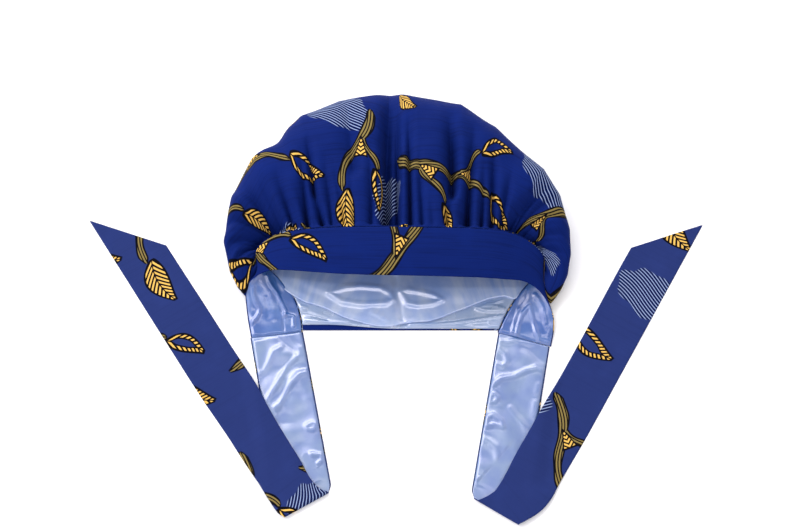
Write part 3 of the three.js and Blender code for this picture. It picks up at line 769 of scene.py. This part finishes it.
def tie_point(name, length, side):
    """A point of a tie from its length and its place beside its middle line, both in mm of flat cloth, and how far
    it lies past the fold."""
    tie = TIES[name]
    length, side = np.broadcast_arrays(length, side)
    first = heading(tie["first"])
    right = np.array([-first[1], first[0]])
    corner = np.array(tie["start"]) + first * tie["down"]
    fold = heading(tie["fold"])
    past = np.array([-fold[1], fold[0]])
    past = past * np.sign(past @ first)
    flat = np.array(tie["start"]) + first * length[..., None] + right * side[..., None]
    half = math.pi * FOLD_RADIUS
    passed = (flat - corner) @ past
    pull = CORNER_PULL * np.abs(side / HALF_WIDTH) ** 7 * bump(passed - half / 2, CORNER_REACH)
    rows = table("at inner outer", TUCKS[name])
    after = np.clip(passed - half, rows["at"][0], rows["at"][-1])
    inner = side * (1 - 2 * tie["outer"]) > 0
    tuck = np.where(inner, read(rows, "inner", after), read(rows, "outer", after))
    pull += tuck * np.abs(side / HALF_WIDTH) ** 1.6
    flat = flat - right * (np.sign(side) * pull)[..., None]
    side = side - np.sign(side) * pull
    beyond, beside = (flat - corner) @ past, (flat - corner) @ fold

    angle = np.clip(beyond / FOLD_RADIUS, 0, math.pi)
    bend = corner + fold * beside[..., None] + past * (FOLD_RADIUS * np.sin(angle))[..., None]
    bend_z = LYING + FOLD_RADIUS * (1 - np.cos(angle))

    mirrored = first - past * 2 * (first @ past)
    sideways = right - past * 2 * (right @ past)
    run = length - tie["down"] - half / (first @ past)
    steps = np.arange(0, PATH_END, PATH_STEP)
    eased = smooth((steps - tie["wait"]) / tie["swing"])
    path = np.cumsum(turned(mirrored, math.radians(tie["turn"]) * eased) * PATH_STEP, axis=0)
    path = np.concatenate([np.zeros((1, 2)), path[:-1]])
    inside = np.maximum(run, 0)
    middle = np.stack([np.interp(inside, steps, path[:, 0]), np.interp(inside, steps, path[:, 1])], axis=-1)
    middle = middle + corner + mirrored * np.minimum(run, 0)[..., None]
    ease = smooth((inside - tie["wait"]) / tie["swing"])
    middle = middle + fold * (half * (first @ fold) / (first @ past) * (1 - ease))[..., None]
    slipped = side + tie["slip"] * ease
    spot = middle + turned(sideways, math.radians(tie["turn"]) * ease) * slipped[..., None]
    outward = right * (-1 if tie["outer"] == 0 else 1)
    off = (spot - corner) @ outward - HALF_WIDTH
    resting = OVER_LIFT * (1 - smooth((off - 2) / 16))
    lift = lerp(FOLD_LIFT, resting, smooth((beyond - half) / SETTLE))

    first_part = stack(flat[..., 0], flat[..., 1], LYING)
    fold_part = stack(bend[..., 0], bend[..., 1], bend_z)
    second_part = stack(spot[..., 0], spot[..., 1], LYING + lift)
    points = np.where((beyond > 0)[..., None], fold_part, first_part)
    return np.where((beyond >= half)[..., None], second_part, points), beyond


# %% [markdown]
# The satin of each tie has its own chart of soft creases and closed rims, because that is what tells the eye that
# it is satin. They fade out where the second part of the tie lies on the first.

# %% Tie sheets
TIE_CREASES = {
    "left": [
        (1.6, -1.0, (1.3, 1.5), (8.9, 7.4), (19.5, 15.1)),
        (2.4, 0.9, (0, 6.5), (9, 12.5), (17, 17.5)),
        (4.4, 0.9, (3.8, -18), (12.5, -6.5), (20, 4)),
        (1.9, 0.9, (12.8, 1.9), (16.7, -5.9), (26.4, -11.6), (32.9, -16.7), (34.9, -23.1)),
        (1.7, 1.1, (26, 14), (31.9, 5.8), (38.3, -0.3), (47.7, -7), (61.2, -19.3)),
        (1.8, 1.2, (41.4, 21.5), (42.2, 14.2), (50, 4.8), (59.3, -1.9), (67.6, -8.3), (72.4, -16.1)),
        (3.5, 0.9, (58.8, 17.5), (66.4, 18.2)),
        (5.0, -0.6, (83, -5.7), (113.8, 12.4)),
        (4.0, 1.0, (141, 12), (146, 18)),
    ],
    "right": [
        (1.6, 1.1, (5.6, -20.6), (4.9, -13.8), (1.4, -7.5)),
        (2.6, -0.8, (7.6, 0.7), (12.9, 20.7)),
        (1.8, 1.0, (10.9, -23.1), (16.7, -15.4), (24.5, -11.9), (29.4, -15.7), (28.1, -21.5)),
        (1.9, 1.3, (49, -21.6), (41.8, -14.8), (37.5, -4.2), (30.3, 6), (26.1, 15.6), (26.7, 22.5)),
        (2.0, 0.9, (68, -2.3), (74, 3.7), (79.8, 10.2), (83.8, 14.2)),
        (2.4, 1.1, (101.1, -23.3), (102.7, -16.4), (107.9, -10), (116.5, -6.4)),
        (2.4, 0.9, (42.6, 20.3), (49.8, 19.7)),
        (2.4, 0.9, (59.2, 20), (69.9, 19.9)),
        (6.0, 0.9, (92.8, -3.4), (109.1, 2.5), (127, -1.4)),
        (3.6, -0.6, (70.5, -21), (69, -9)),
        (4.0, -0.6, (96.7, -22), (102, -3.6), (104.6, 8.5)),
    ],
}
TIE_LOOPS = {
    "left": [
        (0, 3.0, 0.9, (92.5, 11.6), (90.6, 18), (93.4, 21.5), (97.4, 17.8), (95.9, 13)),
        (0, 3.8, 1.4, (121.7, 6.6), (119.8, 12.9), (122.3, 20), (126.7, 20.6), (130.5, 15), (129.4, 9.2)),
    ],
    "right": [
        (0, 3.0, 1.1, (58.4, -22.3), (57.5, -19.1), (60.8, -14.7), (64.9, -17.4), (65.9, -21.8)),
        (0, 3.4, 1.4, (80.6, -21.8), (77.7, -17), (82.1, -8.5), (87.4, -6), (86.6, -14.5), (88.7, -21.3)),
        (0, 3.0, 1.3, (139.4, -21.6), (138.1, -18.4), (140.3, -14.8), (143.8, -15.3), (143.4, -20.5)),
    ],
}
CREASE_WIDER, CREASE_HIGHER = 1.5, 1.1
TIE_ROLL_SHARE = 0.012  # of the width
ROLL_COLUMNS = np.array([0, 0.006, TIE_ROLL_SHARE])
TIE_COLUMNS = {
    "print": np.concatenate([ROLL_COLUMNS, np.linspace(0.02, 0.98, 30), [0.988, 0.994, 1]])[None, :],
    "satin": np.linspace(0, 1, 52)[None, :],
}
SATIN_SEAM = 0.04  # of the width, where the satin comes up from its seams
QUIET_FROM, QUIETER = 140, 0.6  # the creases are lower further down
TIE_STEP = 1.35
FINE_STEP, FINE_BEFORE, FINE_AFTER = 0.6, 34, 44  # finer rows from before the fold until after it
SATIN_INSET = 0.8
COVER_ENDS = 150  # where both edges of the first part are covered
COVERED_PUFF = 1.4


def tie_rows(tie, whole):
    """Rows down a tie, as shares of its length, closer together about the fold."""
    near_fold = np.arange(tie["down"] - FINE_BEFORE, tie["down"] + FINE_AFTER, FINE_STEP)
    rows = np.unique(np.concatenate([np.arange(0, whole, TIE_STEP), near_fold, [whole]]))
    keep = np.concatenate([[True], np.diff(rows) > 0.25])
    return rows[keep] / whole


def tie_puff(name, length, side, u, past_fold):
    """How far the satin stands off the print."""
    tie = TIES[name]
    chart = creases(length, side, TIE_CREASES[name], CREASE_WIDER, CREASE_HIGHER)
    chart = chart + flat_hills(length, side, TIE_LOOPS[name])
    chart = chart + uneven(length, side, 32, 61 + tie["outer"]) * 0.8 + uneven(length, side, 18, 64) * 0.14
    edge = smooth(u / SATIN_SEAM) * smooth((1 - u) / SATIN_SEAM) * smooth(length / 3)
    shown = 1 - smooth((length - QUIET_FROM) / 30) * QUIETER
    open_part = 1 - smooth((past_fold + 16) / 14)
    across = 0.5 - side / 48 if tie["outer"] else 0.5 + side / 48
    covered = smooth((length - lerp(tie["cover"], COVER_ENDS, across)) / 6 + 1)
    puff = np.maximum(1.0 + chart, LEAST_PUFF)
    return lerp(puff, np.minimum(puff, COVERED_PUFF), covered) * edge * shown * open_part


def tie_sheets(name):
    """The print and the satin of a tie, and the length of its outer edge."""
    tie = TIES[name]
    whole = tie["down"] + math.pi * FOLD_RADIUS + tie["back"]
    v = tie_rows(tie, whole)[:, None]
    lean = math.tan(math.radians(90 + tie["first"] - tie["fold"]))
    made = {}
    for kind, u in TIE_COLUMNS.items():
        printed = kind == "print"
        inset = 0.0 if printed else SATIN_INSET
        side = (u - 0.5) * (TIE_WIDTH - 2 * inset)
        part = side / TIE_WIDTH + 0.5
        start = 0.15 + tie["head"] * (part - 0.5)
        slant = tie["slant"] * np.abs(part - tie["outer"]) * smooth((v - 0.6) / 0.4)
        length = lerp(start, whole - slant - inset, v)
        beyond = length - tie["down"]  # about the fold, the rows lean until they lie along it
        length = length + lean * side * smooth((beyond + 60) / 50) * smooth((75 - beyond) / 50)
        points, past_fold = tie_point(name, length, side)
        rise = uneven(length, side, 60, 51 + tie["outer"], 1.6) * 0.35 * smooth((past_fold - 30) / 40)
        points[..., 2] += np.maximum(rise, -0.1)
        if printed:
            flat_here = smooth(np.abs(past_fold - FOLD_RADIUS - 1) / 4 - 1)
            depth = EDGE_ROLL * (1 - smooth(np.minimum(u, 1 - u) / TIE_ROLL_SHARE)) * flat_here
        else:
            depth = tie_puff(name, length, side, u, past_fold)
        laid = lined(points, 1 if printed else -1) + inwards(points, depth)
        cloth, thickness = grid_of(side, length), PRINT_THICK if printed else SATIN_THICK
        made[kind] = sheet(f"tie_{name}_{kind}_cloth", laid, cloth, thickness, printed)
    print("tie", name, "is", round(whole), "mm long along its outer edge")
    return made, whole


ties, tie_lengths = {}, {}
for name in TIES:
    ties[name], tie_lengths[name] = tie_sheets(name)

# %% [markdown]
# ## Node helpers
# The finishes are built from nodes. A class of short helpers keeps the node code readable: each adds one kind of
# node, fills its sockets with numbers or links, and gives back its output.

# %% Node helpers
VECTORS = ("Cloth", "Point", "Centre")  # the sockets of groups that take a vector


class Graph:
    """A node tree with short calls for the nodes that the finishes need."""

    def __init__(self, tree):
        self.tree = tree

    def feed(self, socket, value):
        if isinstance(value, bpy.types.NodeSocket):
            self.tree.links.new(value, socket)
        else:
            socket.default_value = value

    def plug(self, sockets, **values):
        """Feeds sockets by name, with _ for a space."""
        for name, value in values.items():
            self.feed(sockets[name.replace("_", " ")], value)

    def node(self, kind, *values, sockets=None, **settings):
        """Adds a node and gives its outputs. values fill its first inputs in turn, sockets fills any others."""
        made = self.tree.nodes.new(kind)
        for name, value in settings.items():
            setattr(made, name, value)
        for socket, value in {**dict(enumerate(values)), **(sockets or {})}.items():
            self.feed(made.inputs[socket], value)
        return made.outputs

    def math(self, operation, *values, clamp=False):
        return self.node("ShaderNodeMath", *values, operation=operation, use_clamp=clamp)[0]

    def chain(self, operation, first, *others):
        for other in others:
            first = self.math(operation, first, other)
        return first

    def times(self, *values):
        return self.chain("MULTIPLY", *values)

    def plus(self, *values):
        return self.chain("ADD", *values)

    def minus(self, first, second):
        return self.math("SUBTRACT", first, second)

    def line(self, value, slope, start):
        return self.math("MULTIPLY_ADD", value, slope, start)

    def sine(self, value):
        return self.math("SINE", value)

    def stripes(self, value, period):
        return self.sine(self.times(value, 2 * math.pi / period))

    def fade(self, value, low, high):
        """0 below low, 1 above high, smooth between them."""
        return self.node("ShaderNodeMapRange", value, low, high, 0.0, 1.0, interpolation_type="SMOOTHSTEP")[0]

    def mix(self, amount, first, second):
        return self.node("ShaderNodeMix", sockets={0: amount, 6: first, 7: second}, data_type="RGBA")[2]

    def vector(self, operation, *values):
        return self.node("ShaderNodeVectorMath", *values, operation=operation)[0]

    def scaled(self, vector, factor):
        return self.node("ShaderNodeVectorMath", vector, sockets={3: factor}, operation="SCALE")[0]

    def split(self, vector):
        return self.node("ShaderNodeSeparateXYZ", vector)

    def noise(self, vector, scale, detail=2.0, roughness=0.5):
        sockets = {"Vector": vector, "Scale": scale, "Detail": detail, "Roughness": roughness}
        return self.node("ShaderNodeTexNoise", sockets=sockets)["Fac"]

    def relief(self, height, strength, distance):
        sockets = {"Strength": strength, "Distance": distance, "Height": height}
        return self.node("ShaderNodeBump", sockets=sockets)[0]

    def group(self, tree, **values):
        return self.node("ShaderNodeGroup", sockets=values, node_tree=tree)


def new_group(name, inputs, outputs):
    """A node group with named sockets: its tree, its graph, what comes in and what goes out."""
    tree = bpy.data.node_groups.new(name, "ShaderNodeTree")
    for way, labels in (("INPUT", inputs), ("OUTPUT", outputs)):
        for label in labels.split():
            kind = "NodeSocketVector" if label in VECTORS else "NodeSocketFloat"
            tree.interface.new_socket(label, in_out=way, socket_type=kind)
    g = Graph(tree)
    return tree, g, g.node("NodeGroupInput"), tree.nodes.new("NodeGroupOutput").inputs


def new_material(name):
    """A material, its graph, and the sockets of its shader."""
    material = bpy.data.materials.new(name)
    material.use_nodes = True
    return material, Graph(material.node_tree), material.node_tree.nodes["Principled BSDF"].inputs


def linear(red, green, blue):
    """An 8-bit screen colour as the linear colour that shaders use."""
    parts = (c / 255 / 12.92 if c <= 10 else ((c / 255 + 0.055) / 1.055) ** 2.4 for c in (red, green, blue))
    return (*parts, 1.0)


def toned(colour, factor):
    """A darker or lighter colour."""
    return (*(min(1.0, c * factor) for c in colour[:3]), 1.0)


# %% [markdown]
# ## The woven ground
# The printed cloth is a plain cotton weave with slubs: here and there a weft yarn is thicker and takes the dye
# darker, which shows as fine streaks across the cloth. The weave itself is finer than a pixel from here, but it
# breaks the gloss, and it shows when the camera comes close.

# %% Weave group
YARN_MM = 0.42
STREAKS, WIDE_STREAKS = (18.0, 900.0, 1.0), (9.0, 260.0, 1.0)  # to the metre, along x and y
weave_tree, g, entry, leave = new_group("Plain weave", "Cloth", "Height Slub Patch")
yarns = g.split(g.scaled(entry["Cloth"], 1000 * math.pi / YARN_MM))
over = g.times(g.sine(yarns[0]), g.sine(yarns[1]))
streak = g.noise(g.vector("MULTIPLY", entry["Cloth"], STREAKS), 1.0, 2.0, 0.6)
wide_streak = g.noise(g.vector("MULTIPLY", entry["Cloth"], WIDE_STREAKS), 1.0, 1.0)
slub = g.line(g.fade(streak, 0.5, 0.68), 0.6, g.times(g.fade(wide_streak, 0.5, 0.72), 0.5))
g.plug(leave, Height=g.line(over, 0.5, 0.5), Slub=slub, Patch=g.noise(entry["Cloth"], 38.0, 3.0))
print("weave:", YARN_MM, "mm yarns")

# %% [markdown]
# ## The print
# The photographed print is somebody's design, so this one is its own: plain leaves with slanted stripes, sprays of
# ribbed stems, and pale hatched clouds, in like colours and of like size, set out afresh on a repeating tile. Each
# motif is a node group that draws one shape round a centre, and all its numbers are in millimetres. It wraps its
# position round the tile, so the print repeats without a seam.

# %% Motif placing
TILE = (276.0, 295.0)  # mm, width and height


def motif_group(name, marks):
    """A group that draws one motif, with the millimetres along and beside the motif's own middle line."""
    tree, g, entry, leave = new_group(name, "Point Centre Angle Length Width Bend Open", marks)
    offset = g.vector("SUBTRACT", entry["Point"], entry["Centre"])
    half = (TILE[0] / 2, TILE[1] / 2, 1.0)
    wrapped = g.vector("WRAP", offset, half, tuple(-size for size in half))
    sockets = {"Vector": wrapped, "Angle": entry["Angle"]}
    axes = g.split(g.node("ShaderNodeVectorRotate", sockets=sockets, rotation_type="Z_AXIS", invert=True)[0])
    return tree, g, entry, leave, axes[0], axes[1]


# %% [markdown]
# A leaf grows from its wide end and comes to a point. Slanted stripes meet on its middle line, as barbs do on a
# feather. Some leaves are open: the cloth shows between two striped halves.

# %% Leaf group
LEAF_STRIPE, STEM_GRAIN, FORK_STRIPE, HATCH = 5.2, 2.7, 4.2, 2.8  # mm from one line to the next
leaf_tree, g, entry, leave, along, beside = motif_group("Striped leaf", "Gold Dark")
share = g.math("DIVIDE", along, entry["Length"])
beside = g.minus(beside, g.times(share, along, entry["Bend"]))
place = g.math("ADD", share, 0.5, clamp=True)
belly = g.sine(g.times(g.math("POWER", place, 0.8), math.pi))
half_width = g.times(entry["Width"], 0.5, belly)
off = g.math("ABSOLUTE", beside)
room = g.minus(half_width, off)
open_part = g.times(entry["Open"], g.minus(g.fade(place, 0.05, 0.3), g.fade(place, 0.55, 0.85)))
beyond_gap = g.minus(off, g.times(half_width, open_part))
gold = g.times(g.fade(room, 0.2, 0.7), g.fade(beyond_gap, 0.35, 0.85))
closed = g.math("MAXIMUM", g.fade(beyond_gap, -1.2, -0.7), g.fade(open_part, 0.1, 0.0))
outline = g.times(g.fade(room, -1.9, -1.2), g.fade(belly, 0.02, 0.08), closed)
lines = g.fade(g.stripes(g.line(off, -1.15, along), LEAF_STRIPE), -0.35, 0.25)
g.plug(leave, Gold=g.times(gold, g.minus(1.0, lines)), Dark=outline)

# %% [markdown]
# A stem sways once from side to side. Dark lines run along it like grain in wood, and it narrows at its end.

# %% Stem group
SWAY = 5.2  # radians of the sway over a stem's length
stem_tree, g, entry, leave, along, beside = motif_group("Grained stem", "Olive Dark")
share = g.math("DIVIDE", along, entry["Length"])
beside = g.minus(beside, g.times(g.sine(g.times(share, SWAY)), entry["Bend"]))
tip = g.minus(0.5, g.math("ABSOLUTE", share))
knots = g.line(g.sine(g.times(along, 0.21)), 0.14, g.line(share, -0.35, 0.85))
half_width = g.times(entry["Width"], 0.5, knots, g.fade(tip, -0.015, 0.09))
room = g.minus(half_width, g.math("ABSOLUTE", beside))
drift = g.times(g.sine(g.times(along, 0.13)), 0.7)
grain = g.stripes(g.plus(beside, drift), STEM_GRAIN)
ends = g.fade(tip, 0.0, 0.012)
olive = g.times(g.fade(room, 0.0, 0.4), ends, g.fade(grain, 0.45, -0.15))
g.plug(leave, Olive=olive, Dark=g.times(g.fade(room, -1.8, -1.1), ends))

# %% [markdown]
# Where a stem parts, a small gold triangle of nested angles fills the fork.

# %% Fork group
fork_tree, g, entry, leave, along, beside = motif_group("Gold fork", "Gold Dark")
share = g.math("DIVIDE", along, entry["Length"])
off = g.math("ABSOLUTE", beside)
half_width = g.times(entry["Width"], 0.5, g.plus(share, 0.5))
room = g.math("MINIMUM", g.minus(half_width, off), g.times(g.minus(0.5, share), 12.0))
angles = g.stripes(g.line(off, 0.9, along), FORK_STRIPE)
g.plug(leave, Gold=g.times(g.fade(room, 0.1, 0.5), g.fade(angles, 0.4, -0.2)), Dark=g.fade(room, -1.3, -0.7))

# %% [markdown]
# Pale hatched patches lie behind the stems like clouds. Their thin lines bend a little, their edge is uneven, and
# the ground between the lines is darker than elsewhere.

# %% Cloud group
cloud_tree, g, entry, leave, along, beside = motif_group("Hatched cloud", "Pale Deep")
x = g.math("DIVIDE", along, g.times(entry["Length"], 0.5))
y = g.math("DIVIDE", beside, g.times(entry["Width"], 0.5))
radius = g.math("SQRT", g.plus(g.times(x, x), g.times(y, y)))
turn = g.math("ARCTAN2", y, x)
lobes = g.plus(g.sine(g.times(turn, 3.0)), g.sine(g.line(turn, 7.0, 1.0)))
wave = g.times(g.sine(g.times(along, 0.09)), entry["Bend"])
hatch = g.stripes(g.plus(beside, wave), HATCH)
inside = g.fade(g.plus(radius, g.times(lobes, 0.06)), 0.9, 0.84)
g.plug(leave, Pale=g.times(inside, g.fade(hatch, 0.42, 1.0)), Deep=inside)
print("motifs:", leaf_tree.name, stem_tree.name, fork_tree.name, cloud_tree.name)

# %% [markdown]
# The print group puts the motifs on the tile. Each spray is a long stem with shorter ones growing from it, a leaf
# at the end of each, and a gold fork where they part. Code works out those places from the stem. Each colour is
# kept as a mask until the end, so a dark outline can cut whatever lies under it.

# %% Print layout
# long stems: centre x, y, angle in degrees, length, width, bend; then place, turn and length of each branch
SPRAYS = [
    ((68, 73, 28, 150, 9.0, 10), [(-0.12, 44, 54), (0.2, -42, 36)]),
    ((201, 84, -60, 100, 8.5, -8), [(-0.12, 58, 40)]),
    ((108, 206, -14, 146, 9.0, 9), [(-0.2, -44, 44), (0.16, 44, 40)]),
    ((253, 208, -98, 92, 8.0, -8), [(-0.12, 64, 32)]),
]
# single leaves and clouds: centre x, y, angle, length, width, bend, gap
LONE_LEAVES = [(47, 274, -35, 46, 19, 0.4, 0.0)]
CLOUDS = [(143, 108, 24, 84, 54, 2.5, 0), (234, 250, -30, 72, 50, 2.0, 0), (26, 176, 52, 66, 46, 2.2, 0)]


def on_stem(row, share):
    """The place on a stem's middle line and the stem's direction there."""
    x, y, angle, length, width, bend = row
    turn = math.radians(angle)
    along, beside = share * length, math.sin(share * SWAY) * bend
    heading = turn + math.atan(bend * SWAY / length * math.cos(share * SWAY))
    return (
        x + along * math.cos(turn) - beside * math.sin(turn),
        y + along * math.sin(turn) + beside * math.cos(turn),
        math.degrees(heading),
    )


def growing(place, heading, length, bend=0.0):
    """The centre of a motif that grows from a place in the direction heading."""
    turn, start = math.radians(heading), math.sin(SWAY / 2) * bend
    return (
        place[0] + 0.5 * length * math.cos(turn) - start * math.sin(turn),
        place[1] + 0.5 * length * math.sin(turn) + start * math.cos(turn),
    )


NEAR_TIP = 0.47  # the share of a stem where its leaf starts
STEMS, LEAVES, FORKS = [], list(LONE_LEAVES), []
for count, (stem, branches) in enumerate(SPRAYS):
    STEMS.append(stem + (0.0,))
    x, y, heading = on_stem(stem, NEAR_TIP)
    LEAVES.append(growing((x, y), heading, 50) + (heading, 50, 21, 0.5, 0.0 if count % 2 else 0.55))
    for share, turn, length in branches:
        x, y, heading = on_stem(stem, share)
        FORKS.append(growing((x, y), heading + turn / 2, 17) + (heading + turn / 2, 17, 12, 0, 0))
        branch = growing((x, y), heading + turn, length, 3) + (heading + turn, length, 6.5, 3)
        STEMS.append(branch + (0.0,))
        x, y, heading = on_stem(branch, NEAR_TIP)
        LEAVES.append(growing((x, y), heading, 40) + (heading, 40, 16, -0.4, 0.5 if turn > 0 else 0.0))

print_tree, g, entry, leave = new_group("Leaf and stem print", "Cloth", "Gold Olive Pale Dark Deep")
point = g.scaled(entry["Cloth"], 1000.0)


def motif(tree, row):
    x, y, angle, length, width, bend, gap = row
    size = dict(Length=length, Width=width, Bend=bend, Open=gap)
    return g.group(tree, Point=point, Centre=(x, y, 0.0), Angle=math.radians(angle), **size)


def most(motifs, mark):
    """One mask for a mark of all motifs."""
    return g.chain("MAXIMUM", *(each[mark] for each in motifs))


leaves = [motif(leaf_tree, row) for row in LEAVES] + [motif(fork_tree, row) for row in FORKS]
stems = [motif(stem_tree, row) for row in STEMS]
clouds = [motif(cloud_tree, row) for row in CLOUDS]
leaf_dark = most(leaves, "Dark")
dark = g.math("MAXIMUM", leaf_dark, most(stems, "Dark"))
olive = g.times(most(stems, "Olive"), g.minus(1.0, leaf_dark))
pale = g.times(most(clouds, "Pale"), g.minus(1.0, dark))
g.plug(leave, Gold=most(leaves, "Gold"), Olive=olive, Pale=pale, Dark=dark, Deep=most(clouds, "Deep"))
print("print:", len(LEAVES), "leaves,", len(FORKS), "forks,", len(STEMS), "stems,", len(CLOUDS), "clouds")

# %% [markdown]
# ## The printed cotton
# One function makes the cotton for each piece, because each was cut from another place and direction of the same
# bolt. Only the Mapping node differs, and the ties get a lighter ground, a painted sheen for the glare on their
# flat tops.

# %% Printed cotton
GROUND = linear(8, 28, 92)
GOLD = linear(230, 184, 92)
OLIVE = linear(124, 108, 62)
PALE = linear(142, 160, 200)
DEEP = linear(4, 12, 50)
INK = linear(6, 6, 14)
WEAVE_RELIEF = 0.35, 0.00012  # strength, and depth in metres
COTTON_ROUGHNESS = 0.62


def printed_cotton(name, turn, shift, ground=GROUND, slubs=0.7):
    material, g, shader = new_material(name)
    uv = g.node("ShaderNodeUVMap", uv_map=CLOTH_UV)[0]
    place = (shift[0] * MM, shift[1] * MM, 0.0)
    mapped = g.node("ShaderNodeMapping", uv, place, (0.0, 0.0, math.radians(turn)))[0]
    marks, weave = g.group(print_tree, Cloth=mapped), g.group(weave_tree, Cloth=uv)
    colour = g.mix(g.times(weave["Slub"], slubs), ground, toned(ground, 0.5))
    colour = g.mix(g.times(g.fade(weave["Patch"], 0.45, 0.8), 0.5), colour, toned(ground, 1.22))
    colour = g.mix(g.times(marks["Deep"], 0.75), colour, DEEP)
    gold = g.mix(weave["Patch"], toned(GOLD, 0.7), GOLD)
    for mark, tone in (("Dark", INK), ("Pale", PALE), ("Olive", OLIVE), ("Gold", gold)):
        colour = g.mix(marks[mark], colour, tone)
    relief = g.relief(g.line(weave["Slub"], slubs, weave["Height"]), *WEAVE_RELIEF)
    rough = g.line(weave["Patch"], 0.16, COTTON_ROUGHNESS)
    g.plug(shader, Base_Color=colour, Roughness=rough, Normal=relief)
    g.plug(shader, Specular_IOR_Level=0.04, Sheen_Weight=0.01, Sheen_Roughness=0.45)
    g.plug(shader, Sheen_Tint=(0.55, 0.65, 1.0, 1.0))
    return material


# %% [markdown]
# ## The satin
# Satin is woven so that long smooth yarns float on top. It gives back the light in soft bright streaks along every
# small fold, wider across the yarns than along them. A low roughness with some anisotropy does this, and the folds
# in the mesh do the rest. Very fine ribs of yarn show only near by.

# %% Satin
SATIN_BASE = linear(94, 124, 162)
SATIN_SHADE = linear(60, 98, 160)
SATIN_YARNS = (1300.0, 160.0, 1.0)  # ribs to the metre, along x and y
SATIN_RELIEF = 0.12, 0.00008


def satin(name, roughness, base=SATIN_BASE, shade=SATIN_SHADE, shine=1.0):
    material, g, shader = new_material(name)
    uv = g.node("ShaderNodeUVMap", uv_map=CLOTH_UV)[0]
    patch = g.group(weave_tree, Cloth=uv)["Patch"]
    yarns = g.noise(g.vector("MULTIPLY", uv, SATIN_YARNS), 1.0, 2.0, 0.6)
    colour = g.mix(g.fade(patch, 0.3, 0.75), shade, base)
    g.plug(shader, Base_Color=colour, Roughness=g.line(patch, 0.06, roughness))
    g.plug(shader, Normal=g.relief(yarns, *SATIN_RELIEF))
    g.plug(shader, Tangent=g.node("ShaderNodeTangent", direction_type="UV_MAP", uv_map=CLOTH_UV)[0])
    g.plug(shader, IOR=1.9, Specular_IOR_Level=shine, Specular_Tint=(0.98, 0.92, 0.98, 1.0), Anisotropic=0.3)
    g.plug(shader, Sheen_Weight=0.05, Sheen_Roughness=0.3)
    return material


def dress(piece, material):
    piece.data.materials.clear()
    piece.data.materials.append(material)


# painted sheen: the ties' ground is lighter, standing in for the glare that their flat tops catch
tie_ground_with_painted_sheen = linear(33, 46, 98)
dress(crown, printed_cotton("printed cotton, crown", 8, (40, 100)))
dress(front_band, printed_cotton("printed cotton, band", -4, (120, 60)))
dress(nape_casing, printed_cotton("printed cotton, casing", 4, (20, 200)))
dress(ties["left"]["print"], printed_cotton("printed cotton, left tie", 12, (60, 20), tie_ground_with_painted_sheen, 0.2))
dress(ties["right"]["print"], printed_cotton("printed cotton, right tie", -10, (150, 130), tie_ground_with_painted_sheen, 0.2))
# One satin lines the whole bonnet: the band's gets a darker base as painted shade, and the casing's and the crown
# lining's a lighter base as painted light inside the mouth
dress(band_lining, satin("satin, band, painted shade", 0.22, linear(66, 104, 162), linear(44, 84, 152), 0.7))
dress(casing_lining, satin("satin, casing, painted light", 0.24, linear(140, 158, 184), linear(108, 136, 178)))
dress(crown_lining, satin("satin, crown lining, painted light", 0.22, linear(166, 182, 210), linear(128, 154, 204)))
tie_satin = satin("satin, ties", 0.34)
for name in TIES:
    dress(ties[name]["satin"], tie_satin)

# %% [markdown]
# ## Floor and light
# The bonnet lies on a white table that is lit until it is almost pure white. The sky is bright low over the table
# and dim straight above, so level satin looks calm and every slope in it shines. Three large soft lamps draw the
# streaks: a softbox on each of two sides, and a narrow strip overhead.

# %% Floor and light
RING = 1.4  # brightness of the sky low over the table
TOP = 0.3  # and straight above, where the camera hangs
bpy.ops.object.select_all(action="DESELECT")
bpy.ops.mesh.primitive_plane_add(size=6.0)
floor = bpy.context.object
floor.name = "floor"
table_white, g, shader = new_material("white table")
g.plug(shader, Base_Color=(0.94, 0.94, 0.945, 1.0), Roughness=0.9, Specular_IOR_Level=0.1)
dress(floor, table_white)

world = bpy.data.worlds.new("studio")
bpy.context.scene.world = world
world.use_nodes = True
sky = Graph(world.node_tree)
axes = sky.split(sky.node("ShaderNodeTexCoord")["Generated"])
low_sky = sky.line(sky.fade(axes[2], 0.93, 0.74), RING - TOP, TOP)
from_left = sky.line(axes[0], -0.28, 1.0)
background = world.node_tree.nodes["Background"].inputs
sky.plug(background, Color=(1.0, 0.975, 1.0, 1.0), Strength=sky.times(low_sky, from_left))


def lamp(name, place, target, width, height, watts):
    """A rectangular lamp at a place, turned towards its target."""
    data = bpy.data.lights.new(name, "AREA")
    data.shape = "RECTANGLE"
    data.size, data.size_y, data.energy = width, height, watts
    made = bpy.data.objects.new(name, data)
    bpy.context.scene.collection.objects.link(made)
    made.location = place
    x, y, z = np.array(target, float) - np.array(place, float)
    made.rotation_euler = (math.atan2(math.hypot(x, y), -z), 0.0, math.atan2(y, x) - math.pi / 2)


lamp("left softbox", (-1.5, 0.7, 1.3), (0, 0.03, 0), 1.3, 1.3, 20)
lamp("overhead strip", (0.0, -0.06, 1.75), (0, 0.0, 0), 1.5, 0.2, 4.6)
lamp("back softbox", (-0.3, 1.6, 1.5), (0, 0.03, 0), 1.8, 0.7, 22)
bpy.context.scene.view_settings.view_transform = "Standard"
bpy.context.scene.view_settings.look = "None"

# %% [markdown]
# ## Hand over
# Every piece rides on the one body of the model, and the CAD node that it stands for is hidden.

def hand_over(piece, node):
    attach(piece, "root")
    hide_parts(node)


COTTON, SATIN = "printed_cotton", "satin"
hand_over(crown, "crown")
hand_over(crown_lining, "crown_lining")
hand_over(front_band, "front_band")
hand_over(band_lining, "front_band_lining")
hand_over(nape_casing, "nape_casing")
hand_over(casing_lining, "nape_casing_lining")
for name in TIES:
    layers = ("print", COTTON, "front_band_cloth"), ("satin", SATIN, f"tie_{name}_print_cloth")
    for kind, slot, under in layers:
        hand_over(ties[name][kind], f"tie_{name}_{kind}")
